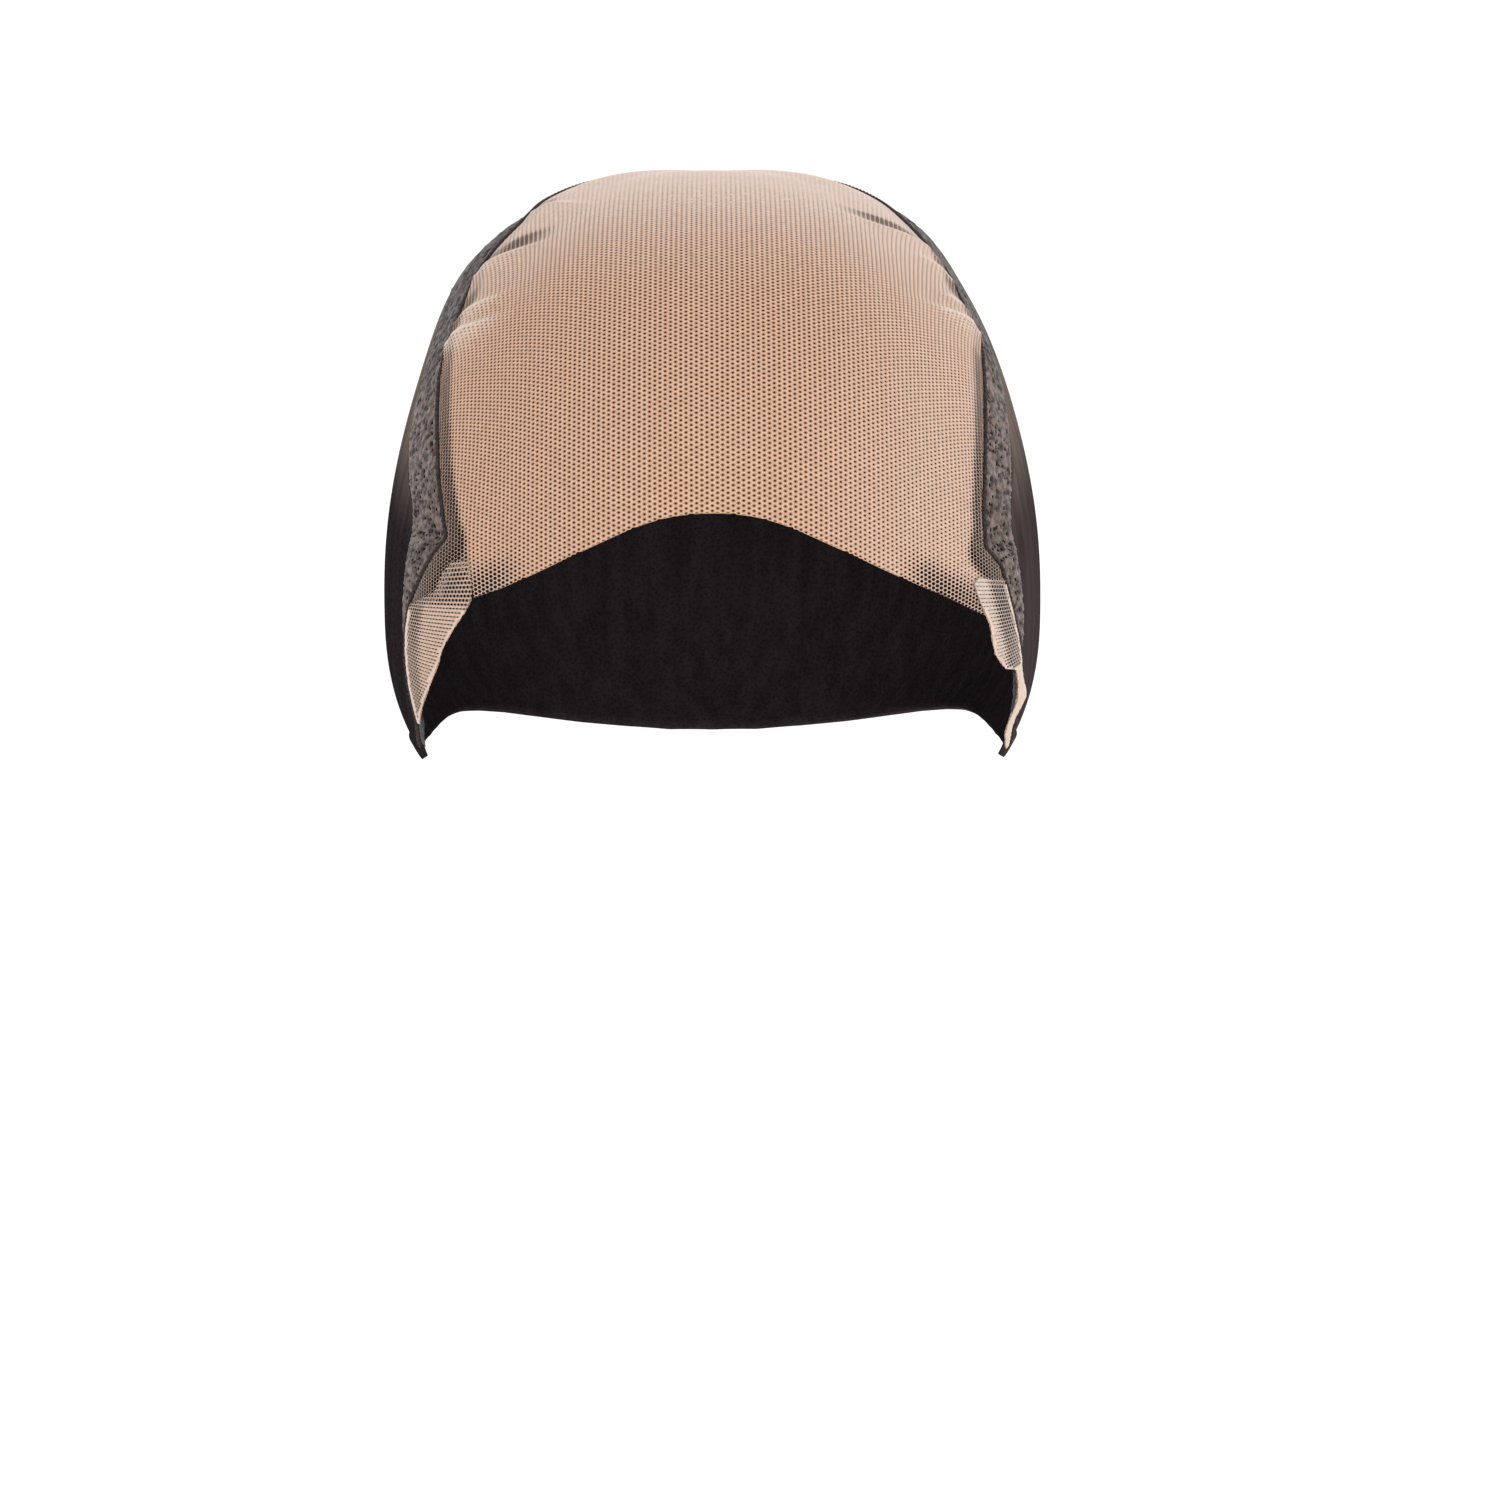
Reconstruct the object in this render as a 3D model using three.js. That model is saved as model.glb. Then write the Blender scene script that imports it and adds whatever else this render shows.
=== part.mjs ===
// A lace-front wig cap in its worn form: a beige hexagon-lace front and crown, two doubled lace
// temple tabs, a perforated stretch band that follows the edge of the lace from ear point to ear
// point over the crown, the seam that joins them, and a dark stretch-net back down to the nape.
//
// Millimetres, +Z up, the forehead towards -Y, the wearer's left towards +X. The origin is the
// inside of the crown, where the cap rests on a head.

import * as THREE from 'three';

// Form that the inside of the cap takes, as half sizes from the centre of its widest level.
const headHalfWidth = 76.3;
const headFront = 96;
const headBack = 91;
const crownRise = 97.8;
// How fast the form closes in below its widest level, at the sides and at the nape.
const sideDrop = 57;
const napeDrop = 80;
// Power of the rounded-box form: 2 is an ellipsoid, more is squarer.
const squareness = 2.41;
// The sides are drawn in a little above the temples: depth, height and reach as shares.
const pinch = { depth: 0.023, height: 0.5, reach: 0.28 };
// Azimuths in degrees from the forehead between which the side drop turns into the nape drop.
const dropBlend = { from: 100, to: 160 };

// Walls and widths of the cloth.
const laceWall = 1.0;
const bandWall = 1.2;
const netWall = 1.2;
const seamWall = 1.1;
const seamWidth = 1.6;
const hemWidth = 7;
const hemWall = 2.0;
// Share of the hem's width over which the wall thickens, and the most of the cloth it may take.
const hemStep = 0.08;
const hemMost = 0.5;
// The band's inner border lies under the lace by this much. The lace stays level a little past
// it, and is down on the head at stepDown past it.
const underlap = 4.5;
const levelPast = 2;
const stepDown = 6;
// Pieces that touch on the real cap lie this far apart.
const pieceGap = 0.3;

// The arch that the lace edge takes over the crown: a squared ellipse in rise and spread.
// Rise is in degrees about the ear axis from level at the forehead, spread from the middle plane.
const arch = { start: 60, end: 117, spread: 39.0, power: 1.6, steps: 16 };
// The outer edge of the band follows it, wider by these angles.
const bandReach = { start: 1, end: 9.4, spread: { left: 12.6, right: 10.4 } };

// Edge of the lace at each side from the ear point up to the arch, and the band's outer edge.
// The cap sits a little askew, so the two sides differ.
const sideEdge = {
  left: [
    { rise: -21.0, spread: 47.6, outerRise: -21.0, outerSpread: 49.4 },
    { rise: -12.9, spread: 46.6, outerRise: -12.9, outerSpread: 48.6 },
    { rise: -5.6, spread: 48.7, outerRise: -5.8, outerSpread: 51.2 },
    { rise: 0.8, spread: 49.7, outerRise: 0.5, outerSpread: 52.7 },
    { rise: 6.7, spread: 49.2, outerRise: 7.6, outerSpread: 53.3 },
    { rise: 11.3, spread: 47.9, outerRise: 13.1, outerSpread: 53.0 },
    { rise: 14.7, spread: 46.0, outerRise: 17.5, outerSpread: 52.2 },
    { rise: 18.6, spread: 43.0, outerRise: 22.3, outerSpread: 51.1 },
    { rise: 21.4, spread: 40.3, outerRise: 26.0, outerSpread: 49.7 },
    { rise: 23.9, spread: 36.9, outerRise: 29.5, outerSpread: 48.4 },
    { rise: 28.5, spread: 37.7, outerRise: 33.5, outerSpread: 48.6 },
    { rise: 34.5, spread: 38.6, outerRise: 39.0, outerSpread: 50.0 },
    { rise: 41.0, spread: 39.0, outerRise: 44.5, outerSpread: 51.3 },
    { rise: 48.0, spread: 39.2, outerRise: 50.0, outerSpread: 51.9 },
    { rise: 54.5, spread: 39.0, outerRise: 55.7, outerSpread: 51.9 },
  ],
  right: [
    { rise: -24.0, spread: 50.0, outerRise: -24.0, outerSpread: 51.8 },
    { rise: -16.0, spread: 49.8, outerRise: -16.0, outerSpread: 51.6 },
    { rise: -10.0, spread: 50.8, outerRise: -10.0, outerSpread: 52.6 },
    { rise: -4.6, spread: 51.0, outerRise: -4.6, outerSpread: 53.0 },
    { rise: 0.1, spread: 50.3, outerRise: 0.2, outerSpread: 53.8 },
    { rise: 4.6, spread: 49.0, outerRise: 5.5, outerSpread: 54.1 },
    { rise: 9.3, spread: 47.2, outerRise: 11.0, outerSpread: 53.8 },
    { rise: 13.2, spread: 45.6, outerRise: 15.5, outerSpread: 53.0 },
    { rise: 16.7, spread: 44.0, outerRise: 19.5, outerSpread: 52.0 },
    { rise: 19.6, spread: 42.6, outerRise: 23.6, outerSpread: 50.5 },
    { rise: 22.3, spread: 38.6, outerRise: 28.2, outerSpread: 48.4 },
    { rise: 28.5, spread: 38.1, outerRise: 33.5, outerSpread: 48.3 },
    { rise: 36.5, spread: 38.5, outerRise: 40.5, outerSpread: 49.2 },
    { rise: 45.0, spread: 38.8, outerRise: 47.8, outerSpread: 49.6 },
    { rise: 54.0, spread: 39.0, outerRise: 55.0, outerSpread: 49.6 },
  ],
};
const cornerRow = 9;

// Hairline from the middle of the forehead out to the crease where the temple tab begins.
const hairlineMiddle = [
  { spread: 0, rise: 24.7 },
  { spread: 4.8, rise: 24.4 },
  { spread: 8.7, rise: 23.5 },
  { spread: 13.7, rise: 21.3 },
  { spread: 18.7, rise: 19.4 },
  { spread: 24.2, rise: 17.0 },
  { spread: 28.4, rise: 15.6 },
];
const hairline = {
  left: [...hairlineMiddle, { spread: 32.9, rise: 14.3 }],
  right: [
    ...hairlineMiddle,
    { spread: 33.2, rise: 13.7 },
    { spread: 36.0, rise: 12.5 },
    { spread: 39.7, rise: 10.8 },
  ],
};

// Front edges of the temple tabs, from the crease down. row is the matching row of sideEdge,
// and off is how far that edge stands off the head, as a share of tabStandOff. The left tab
// comes to a point; the right one goes on to the ear point as a narrow strip that curls.
const tabStandOff = 1.6;
const tabEdges = {
  left: [
    { row: 9, rise: 14.3, spread: 32.9, off: 0 },
    { row: 8, rise: 11.7, spread: 34.6, off: 0 },
    { row: 7, rise: 9.7, spread: 36.3, off: 0 },
    { row: 6, rise: 7.2, spread: 38.2, off: 0 },
    { row: 5, rise: 4.8, spread: 39.7, off: 0 },
    { row: 4, rise: 1.8, spread: 40.8, off: 0 },
    { row: 3, rise: -2.0, spread: 42.2, off: 0 },
    { row: 2, rise: -6.2, spread: 43.7, off: 0 },
    { row: 1, rise: -12.8, spread: 45.7, off: 0 },
  ],
  right: [
    { row: 9, rise: 10.8, spread: 39.7, off: 0 },
    { row: 8, rise: 9.0, spread: 40.6, off: 0 },
    { row: 7, rise: 7.3, spread: 41.0, off: 0 },
    { row: 6, rise: 5.2, spread: 41.5, off: 0 },
    { row: 5, rise: 2.8, spread: 42.4, off: 0 },
    { row: 4, rise: 0.2, spread: 44.4, off: 0.2 },
    { row: 3, rise: -4.2, spread: 48.4, off: 0.6 },
    { row: 2, rise: -8.8, spread: 48.0, off: 1 },
    { row: 1, rise: -13.8, spread: 46.8, off: 0.6 },
    { row: 0, rise: -22.2, spread: 48.4, off: 0.1 },
  ],
};

// Lower edge of the back, from the ear point round to the nape: degrees round from the
// forehead, and degrees down from level.
const lowerEdge = [
  { azimuth: 55.9, fall: 17.9 },
  { azimuth: 72, fall: 23.5 },
  { azimuth: 90, fall: 27.4 },
  { azimuth: 108, fall: 28.2 },
  { azimuth: 126, fall: 29.8 },
  { azimuth: 144, fall: 33.0 },
  { azimuth: 162, fall: 36.6 },
  { azimuth: 180, fall: 38.5 },
];

// Pleats where the flat lace is eased into the curved band. edge and inner are the rise of the
// crest at the seam and at its inner end, reach is its length in degrees of spread, and height is
// a share of pleatHeight.
const pleatHeight = 2.2;
const pleatFront = 6;
const pleatBack = 3.2;
// Power by which a pleat fades from the seam to its inner end.
const pleatFade = 1.3;
const pleats = [
  { side: 'left', edge: 64.5, inner: 58.8, reach: 19, height: 1 },
  { side: 'left', edge: 70.5, inner: 66.8, reach: 17, height: 0.9 },
  { side: 'left', edge: 85, inner: 72.5, reach: 21, height: 1 },
  { side: 'left', edge: 95.5, inner: 81, reach: 19, height: 0.8 },
  { side: 'right', edge: 66, inner: 62.5, reach: 16, height: 1 },
  { side: 'right', edge: 72.5, inner: 70, reach: 15, height: 0.8 },
  { side: 'right', edge: 84, inner: 82, reach: 18, height: 0.9 },
  { side: 'right', edge: 99, inner: 95, reach: 15, height: 0.7 },
];

// Columns of the lace from the seam to the middle, as shares of its half width. One more meets
// the crease at the hairline.
const laceColumns = [1, 0.965, 0.935, 0.83, 0.68, 0.52, 0.35, 0.17, 0];
// The lace stops just short of the very end of the arch, where its width would be nothing.
const laceEnd = 0.97;
const lacePerRow = 2;
const bandColumns = [0.35, 0.7, 1];
const backSpans = 8;
const tabColumns = [0, 0.25, 0.6, 1];
// The tabs start this share of a row below the crease, clear of the lace.
const tabStart = 0.0375;

const degree = Math.PI / 180;

// Unit direction from the centre of the head by rise and spread.
function direction(rise, spread) {
  const out = Math.cos(spread * degree);
  return new THREE.Vector3(
    Math.sin(spread * degree),
    -out * Math.cos(rise * degree),
    out * Math.sin(rise * degree),
  );
}

// Point of the head form in a direction, from the centre of the head, with its outward normal,
// and the same point before the sides are drawn in, which lies straight along the direction.
function formPoint(toward) {
  const azimuth = Math.atan2(Math.abs(toward.x), -toward.y) / degree;
  const blend = THREE.MathUtils.smoothstep(azimuth, dropBlend.from, dropBlend.to);
  const drop = THREE.MathUtils.lerp(sideDrop, napeDrop, blend);
  const depth = toward.y < 0 ? headFront : headBack;
  const height = toward.z > 0 ? crownRise : drop;
  const half = new THREE.Vector3(headHalfWidth, depth, height);
  const share = toward.clone().divide(half);
  const sum = share.toArray().reduce((total, part) => total + Math.abs(part) ** squareness, 0);
  const round = toward.clone().multiplyScalar(sum ** (-1 / squareness));
  const slope = (part) => Math.sign(part) * Math.abs(part) ** (squareness - 1);
  const normal = new THREE.Vector3(slope(share.x), slope(share.y), slope(share.z));
  normal.divide(half).normalize();
  const level = (round.z / crownRise - pinch.height) / pinch.reach;
  const point = round.clone();
  point.x *= 1 - pinch.depth * Math.exp(-(level ** 2));
  return { point, normal, round };
}

// Point of the cloth in a direction, lifted off the head form, in the part's own frame.
function onHead(toward, lift) {
  const { point, normal } = formPoint(toward);
  point.addScaledVector(normal, lift);
  point.z -= crownRise;
  return point;
}

// A row of a table at a fractional index, every column read on the straight line between rows.
function rowAt(rows, index) {
  const low = Math.min(Math.floor(index), rows.length - 2);
  const share = index - low;
  const blended = {};
  for (const name of Object.keys(rows[low])) {
    blended[name] = THREE.MathUtils.lerp(rows[low][name], rows[low + 1][name], share);
  }
  return blended;
}

// A row of a table where one of its columns has a given value.
function rowWhere(rows, column, value) {
  const next = rows.findIndex((row) => row[column] >= value);
  const low = Math.min(Math.max(next - 1, 0), rows.length - 2);
  const span = rows[low + 1][column] - rows[low][column];
  return rowAt(rows, low + (value - rows[low][column]) / span);
}

// The whole edge on one side: the table, then the arch over the crown to the middle of the back.
function edgeRows(side) {
  const rows = [...sideEdge[side]];
  for (let step = 0; step <= arch.steps; step += 1) {
    const angle = ((step / arch.steps) * Math.PI) / 2;
    const along = Math.sin(angle) ** (2 / arch.power);
    const across = Math.cos(angle) ** (2 / arch.power);
    const outerStart = arch.start + bandReach.start;
    const outerEnd = arch.end + bandReach.end;
    rows.push({
      rise: THREE.MathUtils.lerp(arch.start, arch.end, along),
      spread: arch.spread * across,
      outerRise: THREE.MathUtils.lerp(outerStart, outerEnd, along),
      outerSpread: (arch.spread + bandReach.spread[side]) * across,
    });
  }
  return rows;
}

const signOf = { left: -1, right: 1 };
const edge = { left: edgeRows('left'), right: edgeRows('right') };
const lastRow = edge.left.length - 1;
const seamLine = {
  left: edge.left.map((row) => formPoint(direction(row.rise, -row.spread)).point),
  right: edge.right.map((row) => formPoint(direction(row.rise, row.spread)).point),
};

// Distance of a point of the head form from the nearest stretch of seam on its own side.
function insideSeam(point) {
  const line = point.x < 0 ? seamLine.left : seamLine.right;
  const distances = line.slice(1).map((end, k) => {
    const stretch = new THREE.Line3(line[k], end);
    return point.distanceTo(stretch.closestPointToPoint(point, true, new THREE.Vector3()));
  });
  return Math.min(...distances);
}

// Edge rows from the left ear point over the crown to the right one.
const roundTheEdge = [
  ...edge.left.map((row) => ({ ...row, side: signOf.left })),
  ...edge.right.slice(0, lastRow).reverse().map((row) => ({ ...row, side: signOf.right })),
];

// The band at a row: the point of its seam, the way across it to its outer edge, and its width.
function bandAcross(row) {
  const seam = formPoint(direction(row.rise, row.side * row.spread)).round;
  const outer = formPoint(direction(row.outerRise, row.side * row.outerSpread)).round;
  return { seam, across: outer.clone().sub(seam).normalize(), width: seam.distanceTo(outer) };
}

// Direction of the point that lies a distance outside the seam, along its line to the band's
// outer edge. A negative distance is inside, under the lace.
function besideSeam(row, distance) {
  const { seam, across } = bandAcross(row);
  return seam.addScaledVector(across, distance).normalize();
}

// A closed cloth wall over a grid. under and over give the two faces at a row and a column.
function clothWall(rowCount, columnCount, under, over) {
  const positions = [];
  for (const face of [under, over]) {
    for (let i = 0; i < rowCount; i += 1) {
      for (let j = 0; j < columnCount; j += 1) positions.push(...face(i, j).toArray());
    }
  }
  const top = rowCount * columnCount;
  const at = (i, j) => i * columnCount + j;
  const index = [];
  const quad = (a, b, c, d) => index.push(a, b, c, a, c, d);
  for (let i = 0; i < rowCount - 1; i += 1) {
    for (let j = 0; j < columnCount - 1; j += 1) {
      quad(at(i, j), at(i + 1, j), at(i + 1, j + 1), at(i, j + 1));
      quad(top + at(i, j), top + at(i, j + 1), top + at(i + 1, j + 1), top + at(i + 1, j));
    }
  }
  const rim = [];
  for (let j = 0; j < columnCount; j += 1) rim.push(at(0, j));
  for (let i = 1; i < rowCount; i += 1) rim.push(at(i, columnCount - 1));
  for (let j = columnCount - 2; j >= 0; j -= 1) rim.push(at(rowCount - 1, j));
  for (let i = rowCount - 2; i > 0; i -= 1) rim.push(at(i, 0));
  rim.forEach((a, k) => {
    const b = rim[(k + 1) % rim.length];
    quad(a, b, top + b, top + a);
  });
  return facingOut(positions, index);
}

// Turns a closed mesh so that its faces point out, by the sign of its volume.
function facingOut(positions, index) {
  const corner = (k) => new THREE.Vector3().fromArray(positions, index[k] * 3);
  let volume = 0;
  for (let k = 0; k < index.length; k += 3) {
    volume += corner(k).dot(corner(k + 1).cross(corner(k + 2)));
  }
  if (volume < 0) index.reverse();
  const geometry = new THREE.BufferGeometry();
  geometry.setAttribute('position', new THREE.Float32BufferAttribute(positions, 3));
  geometry.setIndex(index);
  geometry.computeVertexNormals();
  return geometry;
}

// How high the lace lies a distance inside its seam: over the band's border, then on the head.
function laceLift(inside) {
  const full = bandWall + pieceGap;
  const down = THREE.MathUtils.smoothstep(inside, underlap + levelPast, underlap + stepDown);
  return full * (1 - down);
}

// Height of the pleats at a point of the lace.
function pleatLift(side, rise, spread, seamSpread, radius) {
  let height = 0;
  for (const pleat of pleats) {
    const inward = (seamSpread - spread) / pleat.reach;
    if (pleat.side === side && inward <= 1) {
      const crest = THREE.MathUtils.lerp(pleat.edge, pleat.inner, inward);
      const off = (rise - crest) * degree * radius;
      const width = off < 0 ? pleatFront : pleatBack;
      const crestHeight = pleat.height * pleatHeight * (1 - inward) ** pleatFade;
      height += crestHeight * Math.exp(-((off / width) ** 2));
    }
  }
  return height;
}

// Columns of the lace on one side, from the seam to the middle, with the one at the crease.
function laceColumnsOn(side) {
  const crease = hairline[side][hairline[side].length - 1];
  const shares = [...laceColumns, crease.spread / edge[side][cornerRow].spread];
  return shares.sort((a, b) => b - a).map((share) => ({ side, share }));
}

// The lace from the hairline over the crown. Each column runs from the hairline to the arch.
function laceFront() {
  const across = [...laceColumnsOn('left'), ...laceColumnsOn('right').slice(0, -1).reverse()];
  const rowCount = (lastRow - cornerRow) * lacePerRow + 1;
  const cloth = (i, j) => {
    const { side, share } = across[j];
    const corner = edge[side][cornerRow];
    const front = [...hairline[side], { spread: corner.spread, rise: corner.rise }];
    const index = cornerRow + ((lastRow - cornerRow) * i) / (rowCount - 1);
    const row = rowAt(edge[side], Math.min(index, lastRow - 1 + laceEnd));
    const spread = share * row.spread;
    const start = rowWhere(front, 'spread', share * corner.spread).rise;
    const done = (row.rise - corner.rise) / (arch.end - corner.rise);
    const rise = THREE.MathUtils.lerp(start, arch.end, done);
    const toward = direction(rise, signOf[side] * spread);
    const { point } = formPoint(toward);
    const radius = point.length() * Math.cos(spread * degree);
    const lift = laceLift(insideSeam(point));
    return { toward, lift: lift + pleatLift(side, rise, spread, row.spread, radius) };
  };
  return clothWall(
    rowCount,
    across.length,
    (i, j) => onHead(cloth(i, j).toward, cloth(i, j).lift),
    (i, j) => onHead(cloth(i, j).toward, cloth(i, j).lift + laceWall),
  );
}

// A doubled lace tab from the crease down, between its front edge and the seam.
function templeTab(side) {
  const rows = tabEdges[side];
  const cloth = (i, j) => {
    const row = i === 0 ? rowAt(rows, tabStart) : rows[i];
    const rear = rowAt(edge[side], row.row);
    const back = direction(rear.rise, signOf[side] * rear.spread);
    const front = direction(row.rise, signOf[side] * row.spread);
    const toward = back.lerp(front, tabColumns[j]).normalize();
    const lift = laceLift(insideSeam(formPoint(toward).point));
    return { toward, lift: lift + row.off * tabStandOff };
  };
  return clothWall(
    rows.length,
    tabColumns.length,
    (i, j) => onHead(cloth(i, j).toward, cloth(i, j).lift),
    (i, j) => onHead(cloth(i, j).toward, cloth(i, j).lift + laceWall),
  );
}

// The band from ear point to ear point, with its border under the lace.
function stretchBand() {
  const cloth = (i, j, lift) => {
    const row = roundTheEdge[i];
    const { width } = bandAcross(row);
    const distances = [-underlap, 0, ...bandColumns.map((share) => share * width)];
    return onHead(besideSeam(row, distances[j]), lift);
  };
  const columns = bandColumns.length + 2;
  return clothWall(
    roundTheEdge.length,
    columns,
    (i, j) => cloth(i, j, 0),
    (i, j) => cloth(i, j, bandWall),
  );
}

// The raised seam on the band, just outside the edge of the lace.
function laceSeam() {
  const distances = [pieceGap, pieceGap + seamWidth];
  const base = bandWall + pieceGap;
  return clothWall(
    roundTheEdge.length,
    distances.length,
    (i, j) => onHead(besideSeam(roundTheEdge[i], distances[j]), base),
    (i, j) => onHead(besideSeam(roundTheEdge[i], distances[j]), base + seamWall),
  );
}

// The dark net from the band's outer edge down to the lower edge, with its hem.
function backCap() {
  const cloth = (i, j) => {
    const row = roundTheEdge[i];
    const start = besideSeam(row, bandAcross(row).width + pieceGap);
    const done = (row.side < 0 ? i : roundTheEdge.length - 1 - i) / lastRow;
    const low = rowAt(lowerEdge, done * (lowerEdge.length - 1));
    const level = Math.cos(low.fall * degree);
    const end = new THREE.Vector3(
      row.side * level * Math.sin(low.azimuth * degree),
      -level * Math.cos(low.azimuth * degree),
      -Math.sin(low.fall * degree),
    );
    const length = formPoint(start).point.distanceTo(formPoint(end).point);
    const hemShare = Math.min(hemWidth / length, hemMost);
    const plain = 1 - hemShare;
    const shares = [];
    for (let k = 0; k < backSpans; k += 1) shares.push((plain * k) / (backSpans - 1));
    shares.push(plain + hemShare * hemStep, 1);
    const wall = j < backSpans ? netWall : hemWall;
    return { toward: slerp(start, end, shares[j]), wall };
  };
  const columns = backSpans + 2;
  return clothWall(
    roundTheEdge.length,
    columns,
    (i, j) => onHead(cloth(i, j).toward, 0),
    (i, j) => onHead(cloth(i, j).toward, cloth(i, j).wall),
  );
}

// Direction a share of the way along the great circle from one direction to another.
function slerp(from, to, share) {
  const angle = from.angleTo(to);
  const near = Math.sin((1 - share) * angle);
  const far = Math.sin(share * angle);
  return from.clone().multiplyScalar(near).addScaledVector(to, far).normalize();
}

const beigeLace = { color: '#c9a489', roughness: 0.85, metalness: 0 };
const greyBand = { color: '#6a5d58', roughness: 0.9, metalness: 0 };
const seamThread = { color: '#2c2422', roughness: 0.85, metalness: 0 };
const darkNet = { color: '#2e2827', roughness: 0.7, metalness: 0 };

const wigCap = new THREE.Group();

function addPiece(name, geometry, look) {
  const piece = new THREE.Mesh(geometry, new THREE.MeshStandardMaterial(look));
  piece.name = name;
  wigCap.add(piece);
}

addPiece('lace_front', laceFront(), beigeLace);
addPiece('temple_tab_left', templeTab('left'), beigeLace);
addPiece('temple_tab_right', templeTab('right'), beigeLace);
addPiece('stretch_band', stretchBand(), greyBand);
addPiece('lace_seam', laceSeam(), seamThread);
addPiece('back_cap', backCap(), darkNet);

export default wigCap;
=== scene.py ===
# %% [markdown]
# # A lace-front wig cap in its worn form
# The cap has a beige hexagon-net front and crown, two doubled lace tabs at the temples, a
# perforated stretch band that follows the edge of the lace, the stitched seam between them and a
# dark stretch-net back. It keeps its worn form with nothing in it: the inside is hollow and open.
# Every surface lies on one rounded form, the same one that the frame's solids are built on, so a
# piece goes where the frame says with no fitting.

import math

import bpy
import numpy as np
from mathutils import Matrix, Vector


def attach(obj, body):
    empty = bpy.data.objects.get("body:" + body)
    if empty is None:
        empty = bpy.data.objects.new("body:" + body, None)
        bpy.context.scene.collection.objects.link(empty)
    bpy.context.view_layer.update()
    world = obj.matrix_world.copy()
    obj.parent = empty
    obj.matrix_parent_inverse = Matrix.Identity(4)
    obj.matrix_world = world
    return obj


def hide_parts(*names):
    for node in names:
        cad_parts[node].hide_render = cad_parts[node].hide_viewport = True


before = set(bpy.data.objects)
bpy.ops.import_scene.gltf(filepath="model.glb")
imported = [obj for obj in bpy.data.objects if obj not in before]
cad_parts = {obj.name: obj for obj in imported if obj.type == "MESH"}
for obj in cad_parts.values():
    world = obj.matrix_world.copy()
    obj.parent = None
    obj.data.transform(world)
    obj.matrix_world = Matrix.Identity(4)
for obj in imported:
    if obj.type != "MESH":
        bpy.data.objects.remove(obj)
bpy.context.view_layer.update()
print("frame nodes:", sorted(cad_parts))

# %% [markdown]
# ## The worn form
# A rounded box in three dimensions: half sizes to the sides, front, back and crown, and a power
# that says how square it is. A surface like this could be sculpted, but a formula gives the
# same point to every piece of cloth that lies on it.

# %% Worn form
HALF_WIDTH, FRONT, BACK, CROWN = 0.0763, 0.096, 0.091, 0.0978
SIDE_DROP, NAPE_DROP = 0.057, 0.080
DROP_FROM, DROP_TO = 100, 160
SQUARENESS = 2.41
PINCH_DEPTH, PINCH_HEIGHT, PINCH_REACH = 0.023, 0.5, 0.28
MM = 0.001


def smoothstep(value, low, high):
    """0 below low, 1 above high, and 3t^2 - 2t^3 of the share t between them."""
    t = np.clip((value - low) / (high - low), 0, 1)
    return t * t * (3 - 2 * t)


def unit(vectors):
    """Each vector divided by its length."""
    return vectors / np.linalg.norm(vectors, axis=-1, keepdims=True)


def direction(rise, spread):
    """x = sin(spread), y = -cos(spread) cos(rise), z = cos(spread) sin(rise), in degrees."""
    rise, spread = np.broadcast_arrays(np.radians(rise), np.radians(spread))
    out = np.cos(spread)
    return np.stack([np.sin(spread), -out * np.cos(rise), out * np.sin(rise)], -1)


def form_point(toward):
    """Scales a direction until the sum of |coordinate / half size|^squareness is 1. Returns the
    point with the sides drawn in, the outward normal, and the point before that."""
    azimuth = np.degrees(np.arctan2(np.abs(toward[..., 0]), -toward[..., 1]))
    drop = SIDE_DROP + (NAPE_DROP - SIDE_DROP) * smoothstep(azimuth, DROP_FROM, DROP_TO)
    depth = np.where(toward[..., 1] < 0, FRONT, BACK)
    height = np.where(toward[..., 2] > 0, CROWN, drop)
    half = np.stack([np.full(depth.shape, HALF_WIDTH), depth, height], -1)
    share = toward / half
    total = (np.abs(share) ** SQUARENESS).sum(-1, keepdims=True)
    round_point = toward * total ** (-1 / SQUARENESS)
    normal = unit(np.sign(share) * np.abs(share) ** (SQUARENESS - 1) / half)
    level = (round_point[..., 2] / CROWN - PINCH_HEIGHT) / PINCH_REACH
    point = round_point.copy()
    point[..., 0] *= 1 - PINCH_DEPTH * np.exp(-(level**2))
    return point, normal, round_point


def on_form(toward, lift):
    """The form's point plus lift times its normal, moved so that the crown is at the origin."""
    point, normal, _ = form_point(toward)
    raised = point + normal * np.broadcast_to(lift, point.shape[:-1])[..., None]
    return raised - np.array([0, 0, CROWN])


# %% [markdown]
# ## The seam line
# One table a side gives the edge of the lace and the outer edge of the band, from the ear point
# up to the temple. The cap sits a little askew, so the two differ. Over the crown both follow a
# squared ellipse. Walking the line by its length keeps stitches and holes evenly spaced.

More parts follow.
